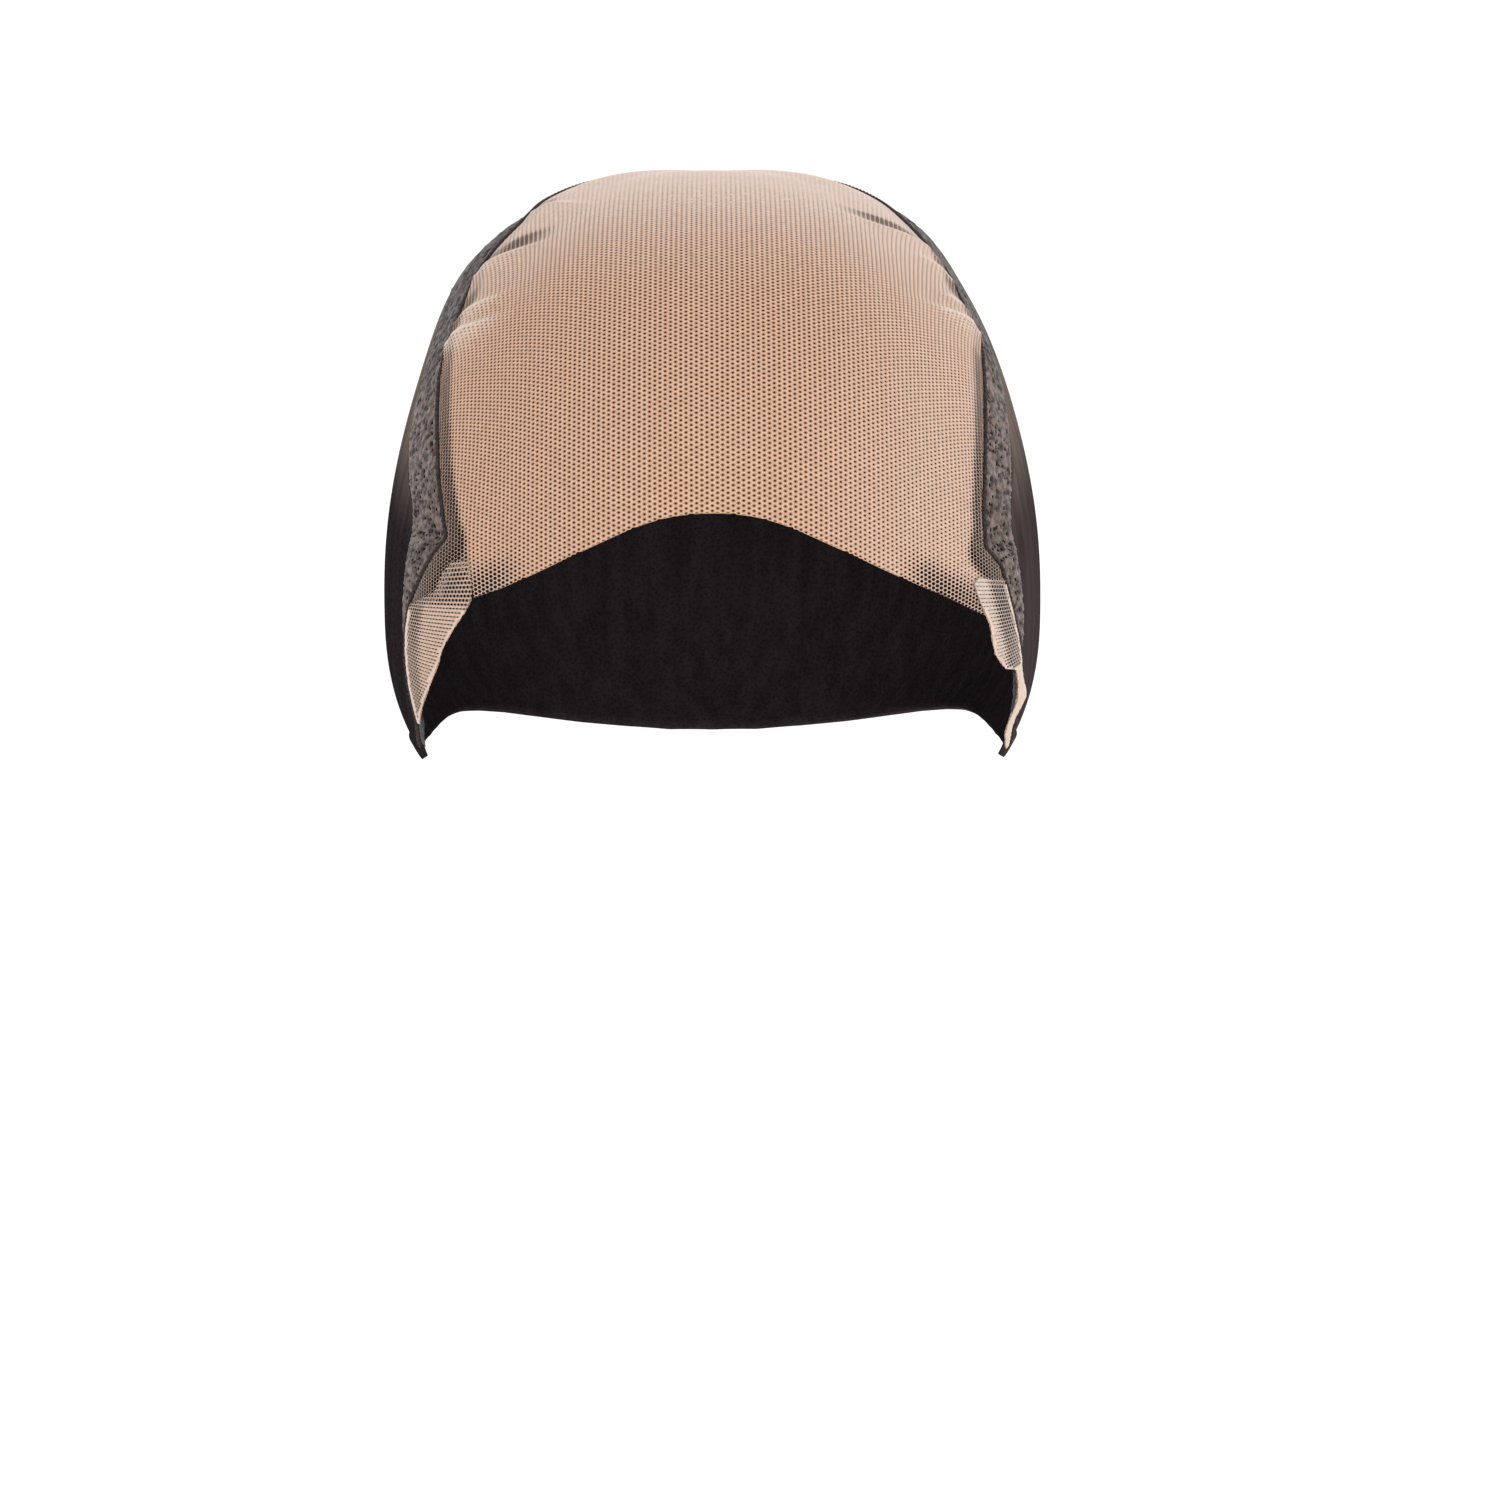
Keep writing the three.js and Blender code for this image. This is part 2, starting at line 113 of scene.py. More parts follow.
# %% Edge tables
SIDES = {"left": -1, "right": 1}
SIDE_EDGE = {  # rise, spread, outer rise, outer spread
    "left": [
        [-21.0, 47.6, -21.0, 49.4],
        [-12.9, 46.6, -12.9, 48.6],
        [-5.6, 48.7, -5.8, 51.2],
        [0.8, 49.7, 0.5, 52.7],
        [6.7, 49.2, 7.6, 53.3],
        [11.3, 47.9, 13.1, 53.0],
        [14.7, 46.0, 17.5, 52.2],
        [18.6, 43.0, 22.3, 51.1],
        [21.4, 40.3, 26.0, 49.7],
        [23.9, 36.9, 29.5, 48.4],
        [28.5, 37.7, 33.5, 48.6],
        [34.5, 38.6, 39.0, 50.0],
        [41.0, 39.0, 44.5, 51.3],
        [48.0, 39.2, 50.0, 51.9],
        [54.5, 39.0, 55.7, 51.9],
    ],
    "right": [
        [-24.0, 50.0, -24.0, 51.8],
        [-16.0, 49.8, -16.0, 51.6],
        [-10.0, 50.8, -10.0, 52.6],
        [-4.6, 51.0, -4.6, 53.0],
        [0.1, 50.3, 0.2, 53.8],
        [4.6, 49.0, 5.5, 54.1],
        [9.3, 47.2, 11.0, 53.8],
        [13.2, 45.6, 15.5, 53.0],
        [16.7, 44.0, 19.5, 52.0],
        [19.6, 42.6, 23.6, 50.5],
        [22.3, 38.6, 28.2, 48.4],
        [28.5, 38.1, 33.5, 48.3],
        [36.5, 38.5, 40.5, 49.2],
        [45.0, 38.8, 47.8, 49.6],
        [54.0, 39.0, 55.0, 49.6],
    ],
}
ARCH_START, ARCH_END, ARCH_SPREAD, ARCH_POWER, ARCH_STEPS = 60, 117, 39.0, 1.6, 48
OUTER_START, OUTER_END, OUTER_SPREAD = 61, 126.4, {"left": 51.6, "right": 49.4}
DRAWN_IN = {  # rise, degrees by which the pleats draw the edge of the lace in
    "left": np.array([[56, 0], [61, 1.6], [66, 3.2], [78, 3.2], [87, 5.0], [93, 3.5], [101, 0]]),
    "right": np.array([[66, 0], [71, 2.6], [77, 2.4], [83, 2.8], [92, 2.2], [101, 0]]),
}
OUTER_TAKEN = 0.5  # share of that which the band's outer edge follows


def edge_table(side):
    """The side's rows, then rise = start + (end - start) sin(a)^(2/power) and
    spread = widest cos(a)^(2/power) for a from 0 to 90 degrees, less what the pleats take."""
    a = np.linspace(0, np.pi / 2, ARCH_STEPS + 1)
    along = np.sin(a) ** (2 / ARCH_POWER)
    across = np.clip(np.cos(a), 0, 1) ** (2 / ARCH_POWER)
    rise = ARCH_START + (ARCH_END - ARCH_START) * along
    taken = np.interp(rise, *DRAWN_IN[side].T)
    arch = [
        rise,
        ARCH_SPREAD * across - taken,
        OUTER_START + (OUTER_END - OUTER_START) * along,
        OUTER_SPREAD[side] * across - OUTER_TAKEN * taken,
    ]
    return np.concatenate([SIDE_EDGE[side], np.stack(arch, -1)])


EDGE = {side: edge_table(side) for side in SIDES}
SEAM_LINE, SEAM_AT = {}, {}
for side, sign in SIDES.items():
    SEAM_LINE[side] = form_point(direction(EDGE[side][:, 0], sign * EDGE[side][:, 1]))[0]
    stretches = np.linalg.norm(np.diff(SEAM_LINE[side], axis=0), axis=1)
    SEAM_AT[side] = np.concatenate([[0], np.cumsum(stretches)])
LEFT_LENGTH, RIGHT_LENGTH = SEAM_AT["left"][-1], SEAM_AT["right"][-1]
print(f"seam: {(LEFT_LENGTH + RIGHT_LENGTH) / MM:.0f} mm from ear point to ear point")


def edge_at(s):
    """The four columns of the edge tables at s, which runs from -length at the left ear point
    through 0 at the middle of the back to +length at the right ear point."""
    left = [np.interp(LEFT_LENGTH + s, SEAM_AT["left"], c) for c in EDGE["left"].T]
    right = [np.interp(RIGHT_LENGTH - s, SEAM_AT["right"], c) for c in EDGE["right"].T]
    return np.where(np.asarray(s)[..., None] < 0, np.stack(left, -1), np.stack(right, -1))


def across_band(s):
    """Seam point, unit vector from it to the band's outer edge, and the band's width."""
    row = edge_at(s)
    sign = np.where(s < 0, -1, 1)
    seam = form_point(direction(row[..., 0], sign * row[..., 1]))[2]
    outer = form_point(direction(row[..., 2], sign * row[..., 3]))[2]
    width = np.linalg.norm(outer - seam, axis=-1)
    return seam, (outer - seam) / width[..., None], width


def beside_seam(s, distance):
    """Direction of the point that lies a distance outside the seam; negative is inside."""
    seam, way, _ = across_band(s)
    return unit(seam + way * np.asarray(distance)[..., None])


def distance_to(line, points):
    """Shortest distance from each point to a line of straight stretches."""
    nearest = np.full(points.shape[:-1], np.inf)
    for start, end in zip(line[:-1], line[1:]):
        way = end - start
        t = np.clip((points - start) @ way / (way @ way), 0, 1)
        gap = np.linalg.norm(points - start - t[..., None] * way, axis=-1)
        nearest = np.minimum(nearest, gap)
    return nearest


def inside_seam(points):
    """Shortest distance from each point to the seam line on its own side."""
    left, right = (distance_to(SEAM_LINE[side], points) for side in SIDES)
    return np.where(points[..., 0] < 0, left, right)


def seam_spread(rise, spread):
    """Spread of the seam at a rise, on the side that the sign of the spread names."""
    left, right = (np.interp(rise, EDGE[side][:, 0], EDGE[side][:, 1]) for side in SIDES)
    return np.where(spread < 0, left, right)


# %% [markdown]
# ## Meshes and materials
# Arrays go straight into a mesh, and each material is a few nodes on Object coordinates, so that
# a pattern keeps its real size and stays where it is when the camera moves. What differs from
# place to place in a cloth is written into the mesh as three numbers a point.

# %% Mesh helpers
def make_piece(name, points, faces, uv=None, marks=None):
    """Puts points and faces into a new mesh object at the origin. uv has two numbers a point and
    marks three, which the materials read as the attribute of that name."""
    mesh = bpy.data.meshes.new(name)
    mesh.from_pydata(points, [], faces)
    mesh.validate()
    if uv is not None:
        layer = mesh.uv_layers.new(name="cloth")
        corner = np.zeros(len(mesh.loops), np.int32)
        mesh.loops.foreach_get("vertex_index", corner)
        layer.data.foreach_set("uv", uv[corner].astype(np.float32).ravel())
    if marks is not None:
        layer = mesh.color_attributes.new(name="marks", type="FLOAT_COLOR", domain="POINT")
        whole = np.concatenate([marks, np.ones((len(marks), 1))], axis=1)
        layer.data.foreach_set("color", whole.astype(np.float32).ravel())
    mesh.polygons.foreach_set("use_smooth", np.full(len(mesh.polygons), True))
    piece = bpy.data.objects.new(name, mesh)
    bpy.context.scene.collection.objects.link(piece)
    return piece


def grid_quads(rows, columns, close=False):
    """Quads between neighbouring points of a grid; close joins the last column to the first."""
    i, j = np.meshgrid(
        np.arange(rows - 1), np.arange(columns if close else columns - 1), indexing="ij"
    )
    k = (j + 1) % columns
    quads = [i * columns + j, i * columns + k, (i + 1) * columns + k, (i + 1) * columns + j]
    return np.stack(quads, -1).reshape(-1, 4)


def report(piece):
    """Prints a piece's triangles and its area."""
    mesh = piece.data
    mesh.calc_loop_triangles()
    area = sum(p.area for p in mesh.polygons)
    print(f"{piece.name}: {len(mesh.loop_triangles)} triangles, {area * 1e6:.0f} mm2")


# %% Material helpers
def linear(hex_colour):
    """sRGB hex to linear: c/12.92 up to 0.04045, else ((c + 0.055)/1.055)^2.4."""
    parts = [int(hex_colour[k : k + 2], 16) / 255 for k in (1, 3, 5)]
    bent = [c / 12.92 if c <= 0.04045 else ((c + 0.055) / 1.055) ** 2.4 for c in parts]
    return (*bent, 1)


def add(tree, kind, settings=None, links=None):
    """Adds one node, sets its attributes or sockets by name, and links sockets into it."""
    node = tree.nodes.new(kind)
    for key, value in (settings or {}).items():
        if isinstance(key, str) and hasattr(node, key):
            setattr(node, key, value)
        else:
            node.inputs[key].default_value = value
    for key, socket in (links or {}).items():
        tree.links.new(socket, node.inputs[key])
    return node


def start_material(name, roughness, specular):
    """An empty material with its Principled shader already linked to the output."""
    material = bpy.data.materials.new(name)
    material.use_nodes = True
    tree = material.node_tree
    tree.nodes.clear()
    shader = add(tree, "ShaderNodeBsdfPrincipled")
    shader.inputs["Roughness"].default_value = roughness
    shader.inputs["Specular IOR Level"].default_value = specular
    add(tree, "ShaderNodeOutputMaterial", links={"Surface": shader.outputs[0]})
    return material, tree, shader


def noise(tree, scale, detail, place):
    """Noise from 0 to 1 at a number of bumps a metre."""
    node = add(tree, "ShaderNodeTexNoise", {"Scale": scale, "Detail": detail}, {"Vector": place})
    return node.outputs["Fac"]


def two_tones(tree, factor, dark, light, low=0.3, high=0.7):
    """A ramp from one hex colour to another between two values of a factor."""
    ramp = add(tree, "ShaderNodeValToRGB", links={"Fac": factor})
    first, last = ramp.color_ramp.elements
    first.position, first.color = low, linear(dark)
    last.position, last.color = high, linear(light)
    return ramp.outputs["Color"]


def mix(tree, factor, first, second, blend="MIX"):
    """Mixes two colours; the factor is a number or a socket, the second a hex or a socket."""
    node = add(tree, "ShaderNodeMix", {"data_type": "RGBA", "blend_type": blend})
    tree.links.new(first, node.inputs[6])
    if isinstance(second, str):
        node.inputs[7].default_value = linear(second)
    else:
        tree.links.new(second, node.inputs[7])
    if isinstance(factor, float):
        node.inputs[0].default_value = factor
    else:
        tree.links.new(factor, node.inputs[0])
    return node.outputs[2]


def marks_of(tree):
    """The three numbers that the mesh carries at each point."""
    colour = add(tree, "ShaderNodeAttribute", {"attribute_name": "marks"}).outputs["Color"]
    return add(tree, "ShaderNodeSeparateColor", links={0: colour}).outputs


def bump(tree, shader, height, strength, distance):
    """Bends the shading normal by a height, as if it stood that distance out."""
    node = add(
        tree, "ShaderNodeBump", {"Strength": strength, "Distance": distance}, {"Height": height}
    )
    tree.links.new(node.outputs[0], shader.inputs["Normal"])


# %% [markdown]
# ## Lace thread
# Wig lace is a warp-knitted net of fine polyester monofilament, dyed to a skin tone. Each thread
# is matte and slightly see-through; down towards the hole it is painted browner, as painted shade
# on the round thread. Where the net is pulled open its threads are painted grey, as painted shade;
# where it lies double it is paler, and the crests, the top and the right are painted paler still,
# as painted highlight.

# %% Lace material
LACE_DRIFT_PER_M = 22.0  # one drift of tone in about 45 mm
LACE_FLECK_PER_M = 900.0  # threads differ from cell to cell, about 1.1 mm


def lace_material():
    """Knitted polyester net. marks are: ridge of the thread, below which it is painted browner as
    painted shade; painted shade where the net is pulled open; and folded cloth with painted
    highlight and sheen.
    """
    material, tree, shader = start_material("knitted polyester lace, beige", 0.72, 0.3)
    place = add(tree, "ShaderNodeTexCoord").outputs["Object"]
    ridge, open_net_shade, fold_and_highlight = marks_of(tree)[:3]
    # painted shade: down towards the hole each thread is painted browner, as the shade on a round
    # thread; its ridge keeps the beige
    hole_flank_shade = two_tones(tree, noise(tree, LACE_DRIFT_PER_M, 2.0, place), "#6b422c", "#774c34")
    thread = mix(tree, ridge, hole_flank_shade, "#d2ad93")
    # painted highlight: folded cloth, pleat crests, the top and the right are painted paler
    thread = mix(tree, fold_and_highlight, thread, "#d3c4b9")
    # painted shade: threads where the net is pulled open are painted grey
    thread = mix(tree, open_net_shade, thread, "#8d7f78")
    fleck = two_tones(tree, noise(tree, LACE_FLECK_PER_M, 1.0, place), "#dcd6d1", "#ffffff")
    tree.links.new(mix(tree, 0.5, thread, fleck, "MULTIPLY"), shader.inputs["Base Color"])
    shader.inputs["Sheen Weight"].default_value = 0.3
    shader.inputs["Sheen Roughness"].default_value = 0.4
    return material


LACE = lace_material()

# %% [markdown]
# ## The hexagon net
# The net could be a picture of holes on a plain sheet, but then its edge and the dark band
# under it would not show through. Here every cell is a real ring: six outer corners, shared with
# its neighbours and raised to the middle of the thread, and six inner corners round the hole.

# %% Net builder
LACE_PITCH = np.array([1.10, 1.08]) * MM
TAB_PITCH = np.array([1.19, 1.08]) * MM
THREAD_RELIEF = 0.10 * MM
KEEP_NEAR = 0.45  # a cell stays if its centre is this share of a pitch from the outline, or inside
LEAST_FACE = 0.002 * MM * MM
HEXAGON = np.array(
    [[2 / 3, 0], [1 / 3, 0.5], [-1 / 3, 0.5], [-2 / 3, 0], [-1 / 3, -0.5], [1 / 3, -0.5]]
)


def flat_areas(plane, quads):
    """Half the size of the cross product of a quad's diagonals."""
    first, second = plane[quads[:, 2]] - plane[quads[:, 0]], plane[quads[:, 3]] - plane[quads[:, 1]]
    return 0.5 * np.abs(first[:, 0] * second[:, 1] - first[:, 1] * second[:, 0])


def hexagon_net(surface, snap, hole_share, pitch, columns, rows, shift=0.0):
    """Cell (i, j) has its centre at (i, j + half of i's oddness) pitches. Corner 0 is its own
    right junction and corner 3 its left one; the others belong to the next columns. snap moves a
    place past the outline onto it, hole_share says how open a cell is, and surface gives the
    point at a place and a height above the cloth. Returns points, quads, places and ridges."""
    i, j = np.meshgrid(np.arange(*columns), np.arange(*rows), indexing="ij")
    odd = i % 2
    centre = np.stack([i * pitch[0], (j + odd / 2 + shift) * pitch[1]], -1)
    moved = np.stack(snap(centre[..., 0], centre[..., 1]), -1)
    kept = np.linalg.norm(moved - centre, axis=-1) < KEEP_NEAR * pitch[1]
    kept[:1], kept[-1:], kept[:, :1], kept[:, -1:] = False, False, False, False
    right, left = centre + HEXAGON[0] * pitch, centre + HEXAGON[3] * pitch
    count, tall = i.size, i.shape[1]
    cell = np.arange(count).reshape(i.shape)
    a, b = np.nonzero(kept)
    up, down = b + odd[a, b], b + odd[a, b] - 1
    outer = [
        cell[a, b],
        count + (a + 1) * tall + up,
        (a - 1) * tall + up,
        count + cell[a, b],
        (a - 1) * tall + down,
        count + (a + 1) * tall + down,
    ]
    outer = np.stack(outer, -1)
    inner = 2 * count + np.arange(len(a))[:, None] * 6 + np.arange(6)
    share = hole_share(centre[a, b, 0], centre[a, b, 1])
    hole = centre[a, b][:, None] + HEXAGON * pitch * share[:, None, :]
    plane = np.concatenate([right.reshape(-1, 2), left.reshape(-1, 2), hole.reshape(-1, 2)])
    ridge = np.concatenate([np.ones(2 * count), np.zeros(6 * len(a))])
    plane = np.stack(snap(plane[:, 0], plane[:, 1]), -1)
    after = np.roll(np.arange(6), -1)
    quads = np.stack([outer, outer[:, after], inner[:, after], inner], -1).reshape(-1, 4)
    quads = quads[flat_areas(plane, quads) > LEAST_FACE]
    used, quads = np.unique(quads, return_inverse=True)
    plane, ridge = plane[used], ridge[used]
    points = surface(plane[:, 0], plane[:, 1], ridge * THREAD_RELIEF)
    return points, quads.reshape(-1, 4), plane, ridge


# %% [markdown]
# ## Lace front and crown
# The real net is one flat piece, laid over the form and eased into the curved band, which leaves
# the pleats at its sides. The rows of cells run level across the front and the columns from
# front to back. The place across is a true length on the form, so cells keep their size.

# %% Lace surface
HAIRLINE = np.array(  # spread, rise
    [[0, 24.7], [4.8, 24.4], [8.7, 23.5], [13.7, 21.3], [18.7, 19.4], [24.2, 17.0], [28.4, 15.6]]
)
LACE_FOOT = {  # the hairline, then the lower edge of the lace under the temple tab
    "left": [
        [32.9, 14.3],
        [33.4, 18.2],
        [35.6, 18.8],
        [37.4, 17.2],
        [39.0, 14.2],
        [43.4, 12.2],
        [48.0, 12.0],
    ],
    "right": [[33.2, 13.7], [36.0, 12.5], [39.7, 10.8], [40.2, 15.6], [44.0, 16.0], [47.0, 16.0]],
}
LACE_FOOT = {side: np.concatenate([HAIRLINE, rows]) for side, rows in LACE_FOOT.items()}
CREASE = {"left": 32.9, "right": 39.7}
ROUNDING, ROUNDING_ENDS = 3.5, (26, 29)
BAND_WALL, PIECE_GAP = 1.2 * MM, 0.3 * MM
UNDERLAP, STEP_DOWN, LACE_LIFT = 4.5 * MM, 14 * MM, 0.3 * MM
PLEAT_HEIGHT, PLEAT_FRONT, PLEAT_BACK, PLEAT_FADE = 2.2 * MM, 4.2 * MM, 1.2 * MM, 1.3
PLEAT_CREST = 1.3  # power of the fall from the crest: below 2 gives a crisp fold
FOLD_LINE = 0.7 * MM  # half width of the double thread along a crest: closer cells, painted pale as a highlight
FOLD_FADE = (0.3, 0.9)  # shares of its reach between which it fades
PLEATS = np.array(  # side, rise at the seam and inner end, reach in spread, height, open share
    [
        [-1, 60.5, 57.2, 14, 1.0, 0.22],
        [-1, 64.2, 62.0, 13, 0.9, 0.28],
        [-1, 74.8, 72.2, 14, 1.0, 0.95],
        [-1, 92.0, 80.0, 16, 0.5, 0.30],
        [1, 64.8, 60.0, 15, 1.0, 0.22],
        [1, 68.4, 65.4, 10, 0.8, 0.30],
        [1, 74.6, 73.6, 9, 0.8, 0.35],
        [1, 79.4, 79.0, 16, 0.9, 1.00],
    ]
)
PLEAT_AT_SEAM, PLEAT_SWELL = 0.4, 6 * MM  # stitched down at the seam, full height after this
FAN = np.array([0.8, 1.6, 6.0, 9.0]) * MM  # the net behind a crest opens, and closes again
SCALLOP = 0.3 * MM
SHORT_OF_SEAM = 0.3  # degrees by which the last row of cells stays before the seam's rear end
RISES = np.arange(-30, 120.01, 0.4)
SPREADS = np.linspace(-56, 56, 449)


def lace_lift(inside):
    """Over the band's border the lace lies one wall and a gap up, then steps down to the form."""
    down = smoothstep(inside, UNDERLAP, UNDERLAP + STEP_DOWN)
    return (BAND_WALL + PIECE_GAP) * (1 - down) + LACE_LIFT


def pleat_shape(rise, spread):
    """Each pleat is height (1 - inward)^fade exp(-|off/width|^crest), steeper behind, and lower
    at the seam. Returns the sum, how near a place is to the fold along a crest, and how far the
    net is pulled open behind it."""
    point = form_point(direction(rise, spread))[0]
    radius = np.linalg.norm(point, axis=-1) * np.cos(np.radians(spread))
    height, fold, hollow = np.zeros((3, *rise.shape))
    for sign, at_seam, at_end, reach, tall, open_share in PLEATS:
        inward = (seam_spread(rise, spread) - np.abs(spread)) / reach
        crest = at_seam + (at_end - at_seam) * inward
        off = np.radians(rise - crest) * radius
        width = np.where(off < 0, PLEAT_FRONT, PLEAT_BACK)
        here = tall * np.clip(1 - inward, 0, None) ** PLEAT_FADE * (np.sign(spread) == sign)
        here *= inward < 1
        height += here * PLEAT_HEIGHT * np.exp(-(np.abs(off / width) ** PLEAT_CREST))
        here = (1 - smoothstep(inward, *FOLD_FADE)) * (here > 0)
        fold = np.maximum(fold, here * np.exp(-((off / FOLD_LINE) ** 2)))
        behind = smoothstep(off, *FAN[:2]) * (1 - smoothstep(off, *FAN[2:]))
        near = 1 - smoothstep(inward, open_share / 2, open_share)
        hollow = np.maximum(hollow, behind * near * (here > 0))
    inside = np.radians(seam_spread(rise, spread) - np.abs(spread)) * np.linalg.norm(point, axis=-1)
    swell = PLEAT_AT_SEAM + (1 - PLEAT_AT_SEAM) * smoothstep(inside, 0, PLEAT_SWELL)
    return height * swell, fold, hollow


def lace_tables():
    """On a grid of rise and spread: the place across, as a length, and the lift."""
    rise, spread = np.meshgrid(RISES, SPREADS, indexing="ij")
    point = form_point(direction(rise, spread))[0]
    step = np.linalg.norm(np.diff(point, axis=1), axis=-1)
    length = np.concatenate([np.zeros((len(RISES), 1)), np.cumsum(step, axis=1)], axis=1)
    across = length - length[:, [len(SPREADS) // 2]]
    return across, lace_lift(inside_seam(point)) + pleat_shape(rise, spread)[0]


ACROSS_TABLE, LIFT_TABLE = lace_tables()
middle = form_point(direction(RISES, 0))[0]
MIDDLE_AT = np.concatenate([[0], np.cumsum(np.linalg.norm(np.diff(middle, axis=0), axis=1))])
SIDE_REACH, SIDE_STEP = 92 * MM, 0.5 * MM
SIDE_STEPS = np.arange(-SIDE_REACH, SIDE_REACH + SIDE_STEP / 2, SIDE_STEP)
SPREAD_TABLE = np.stack([np.interp(SIDE_STEPS, row, SPREADS) for row in ACROSS_TABLE])


def sample(table, rise, second, steps):
    """Reads a table at a rise and a value of its second axis, on straight lines between points."""
    i = np.clip((rise - RISES[0]) / (RISES[1] - RISES[0]), 0, table.shape[0] - 1.001)
    j = np.clip((second - steps[0]) / (steps[1] - steps[0]), 0, table.shape[1] - 1.001)
    a, b = i.astype(int), j.astype(int)
    s, t = i - a, j - b
    low = table[a, b] * (1 - t) + table[a, b + 1] * t
    high = table[a + 1, b] * (1 - t) + table[a + 1, b + 1] * t
    return low * (1 - s) + high * s


def lace_angles(across, along):
    """Rise and spread of a place on the flat net."""
    rise = np.interp(along, MIDDLE_AT, RISES)
    return rise, sample(SPREAD_TABLE, rise, across, SIDE_STEPS)


def lace_surface(across, along, height):
    """Place on the flat net to a point on the form, with the lift read from its table."""
    rise, spread = lace_angles(across, along)
    lift = sample(LIFT_TABLE, rise, spread, SPREADS)
    return on_form(direction(rise, spread), lift + height)


def lace_foot(spread):
    """Rise of the lower edge of the lace, its table's corners rounded by a mean over a few
    degrees where it is the hairline."""
    reach = ROUNDING * (1 - smoothstep(np.abs(spread), *ROUNDING_ENDS))
    total = 0
    for step in (-1, -0.5, 0, 0.5, 1):
        at = spread + step * reach
        left, right = (np.interp(np.abs(at), *LACE_FOOT[side].T) for side in SIDES)
        total = total + np.where(at < 0, left, right) / 5
    return total


def lace_snap(across, along):
    """Moves a place past the seam back to it, and one below the hairline up to it, less a small
    scallop for each column of cells."""
    rise, spread = lace_angles(across, along)
    limit = seam_spread(rise, spread)
    at_seam = sample(ACROSS_TABLE, rise, np.sign(spread) * limit, SPREADS)
    across = np.where(np.abs(spread) > limit, at_seam, across)
    spread = np.clip(spread, -limit, limit)
    front = np.interp(lace_foot(spread), RISES, MIDDLE_AT)
    free = np.abs(spread) < np.where(spread < 0, CREASE["left"], CREASE["right"])
    scallop = SCALLOP * np.abs(np.sin(np.pi * across / LACE_PITCH[0])) * free
    last = np.interp(ARCH_END - SHORT_OF_SEAM, RISES, MIDDLE_AT)
    return across, np.clip(along, front - scallop, last)


# %% [markdown]
# How open the cells are, and the thread's tone, go by the place. The net is pulled open in a strip
# beside the seam, in the hollows behind the pleats and at the two ends of the hairline, and there
# its threads are painted grey, as painted shade. It is closer on the crests of the pleats and over
# the crown, where it lies slack; the crests, the top and the right are painted paler, as painted
# highlight and sheen.

# %% Lace front
PLAIN_HOLE, WIDE_HOLE, CROWN_HOLE, CREST_HOLE = 0.30, 0.85, 0.15, 0.10
SLOT = np.array([0.82, 0.98])  # across and along, behind a pleat
OPEN_STRIP = (3.6 * MM, 2.4 * MM)  # how far in the net is pulled open, left and right
STRIP_FADE = 2.4 * MM
STRIP_RISES, STRIP_AT_PLEATS = (57, 62), 0.45  # up here it is this share as open
CORNER_RISES, CORNER_WIDTH = (20, 27), 2 * MM  # down at the hairline it is this much wider
CREST_SHARE = 0.45  # of a pleat's height: a crest counts from there, and no more without a fold
CROWN_RISES = (66, 95)  # between these the plain cells close
END_SPREADS, END_REACH, END_SHARE = (23, 30), (2 * MM, 9 * MM), 0.75
A_DEGREE = 1.5 * MM  # along the net, near the hairline
# painted sheen: paler over the top and to the right, where the lights fall
TOP_SHEEN_RISES, TOP_SHEEN = (52, 80), 0.42
RIGHT_SHEEN_SPREADS, RIGHT_SHEEN, PALE_END = (8, 34), 0.22, 0.2
# painted shade: how grey the threads are painted in the open strip, behind pleats and at the
# hairline ends
STRIP_SHADE, HOLLOW_SHADE, END_SHADE = 0.35, 0.2, 0.15
NET_REACH = 86 * MM  # to either side, past the widest place of the lace


def lace_state(across, along):
    """How far a place is pulled open beside the seam, behind a pleat and at an end of the
    hairline, how far it lies on a pleat's crest, and its rise and spread."""
    rise, spread = lace_angles(across, along)
    point = form_point(direction(rise, spread))[0]
    height, fold, hollow = pleat_shape(rise, spread)
    crest = CREST_SHARE * np.clip(height / (CREST_SHARE * PLEAT_HEIGHT), 0, 1)
    crest = np.maximum(crest, fold)
    wide = np.where(spread < 0, *OPEN_STRIP)
    corner = CORNER_WIDTH * (1 - smoothstep(rise, *CORNER_RISES))
    strip = 1 - smoothstep(inside_seam(point) - corner, wide, wide + STRIP_FADE)
    strip *= np.maximum(1 - smoothstep(rise, *STRIP_RISES), STRIP_AT_PLEATS) * (1 - crest)
    above_hairline = (rise - lace_foot(spread)) * A_DEGREE
    end = smoothstep(np.abs(spread), *END_SPREADS) * (1 - smoothstep(above_hairline, *END_REACH))
    return strip, hollow, end, crest * (1 - hollow), rise, spread


def lace_holes(across, along):
    """Open share of a cell across and along."""
    strip, hollow, end, crest, rise, _ = lace_state(across, along)
    plain = PLAIN_HOLE + (CROWN_HOLE - PLAIN_HOLE) * smoothstep(rise, *CROWN_RISES)
    plain = plain + (CREST_HOLE - plain) * crest
    share = plain + (WIDE_HOLE - plain) * np.maximum(strip, END_SHARE * end)
    share = share[..., None]
    return share + (SLOT - share) * hollow[..., None]


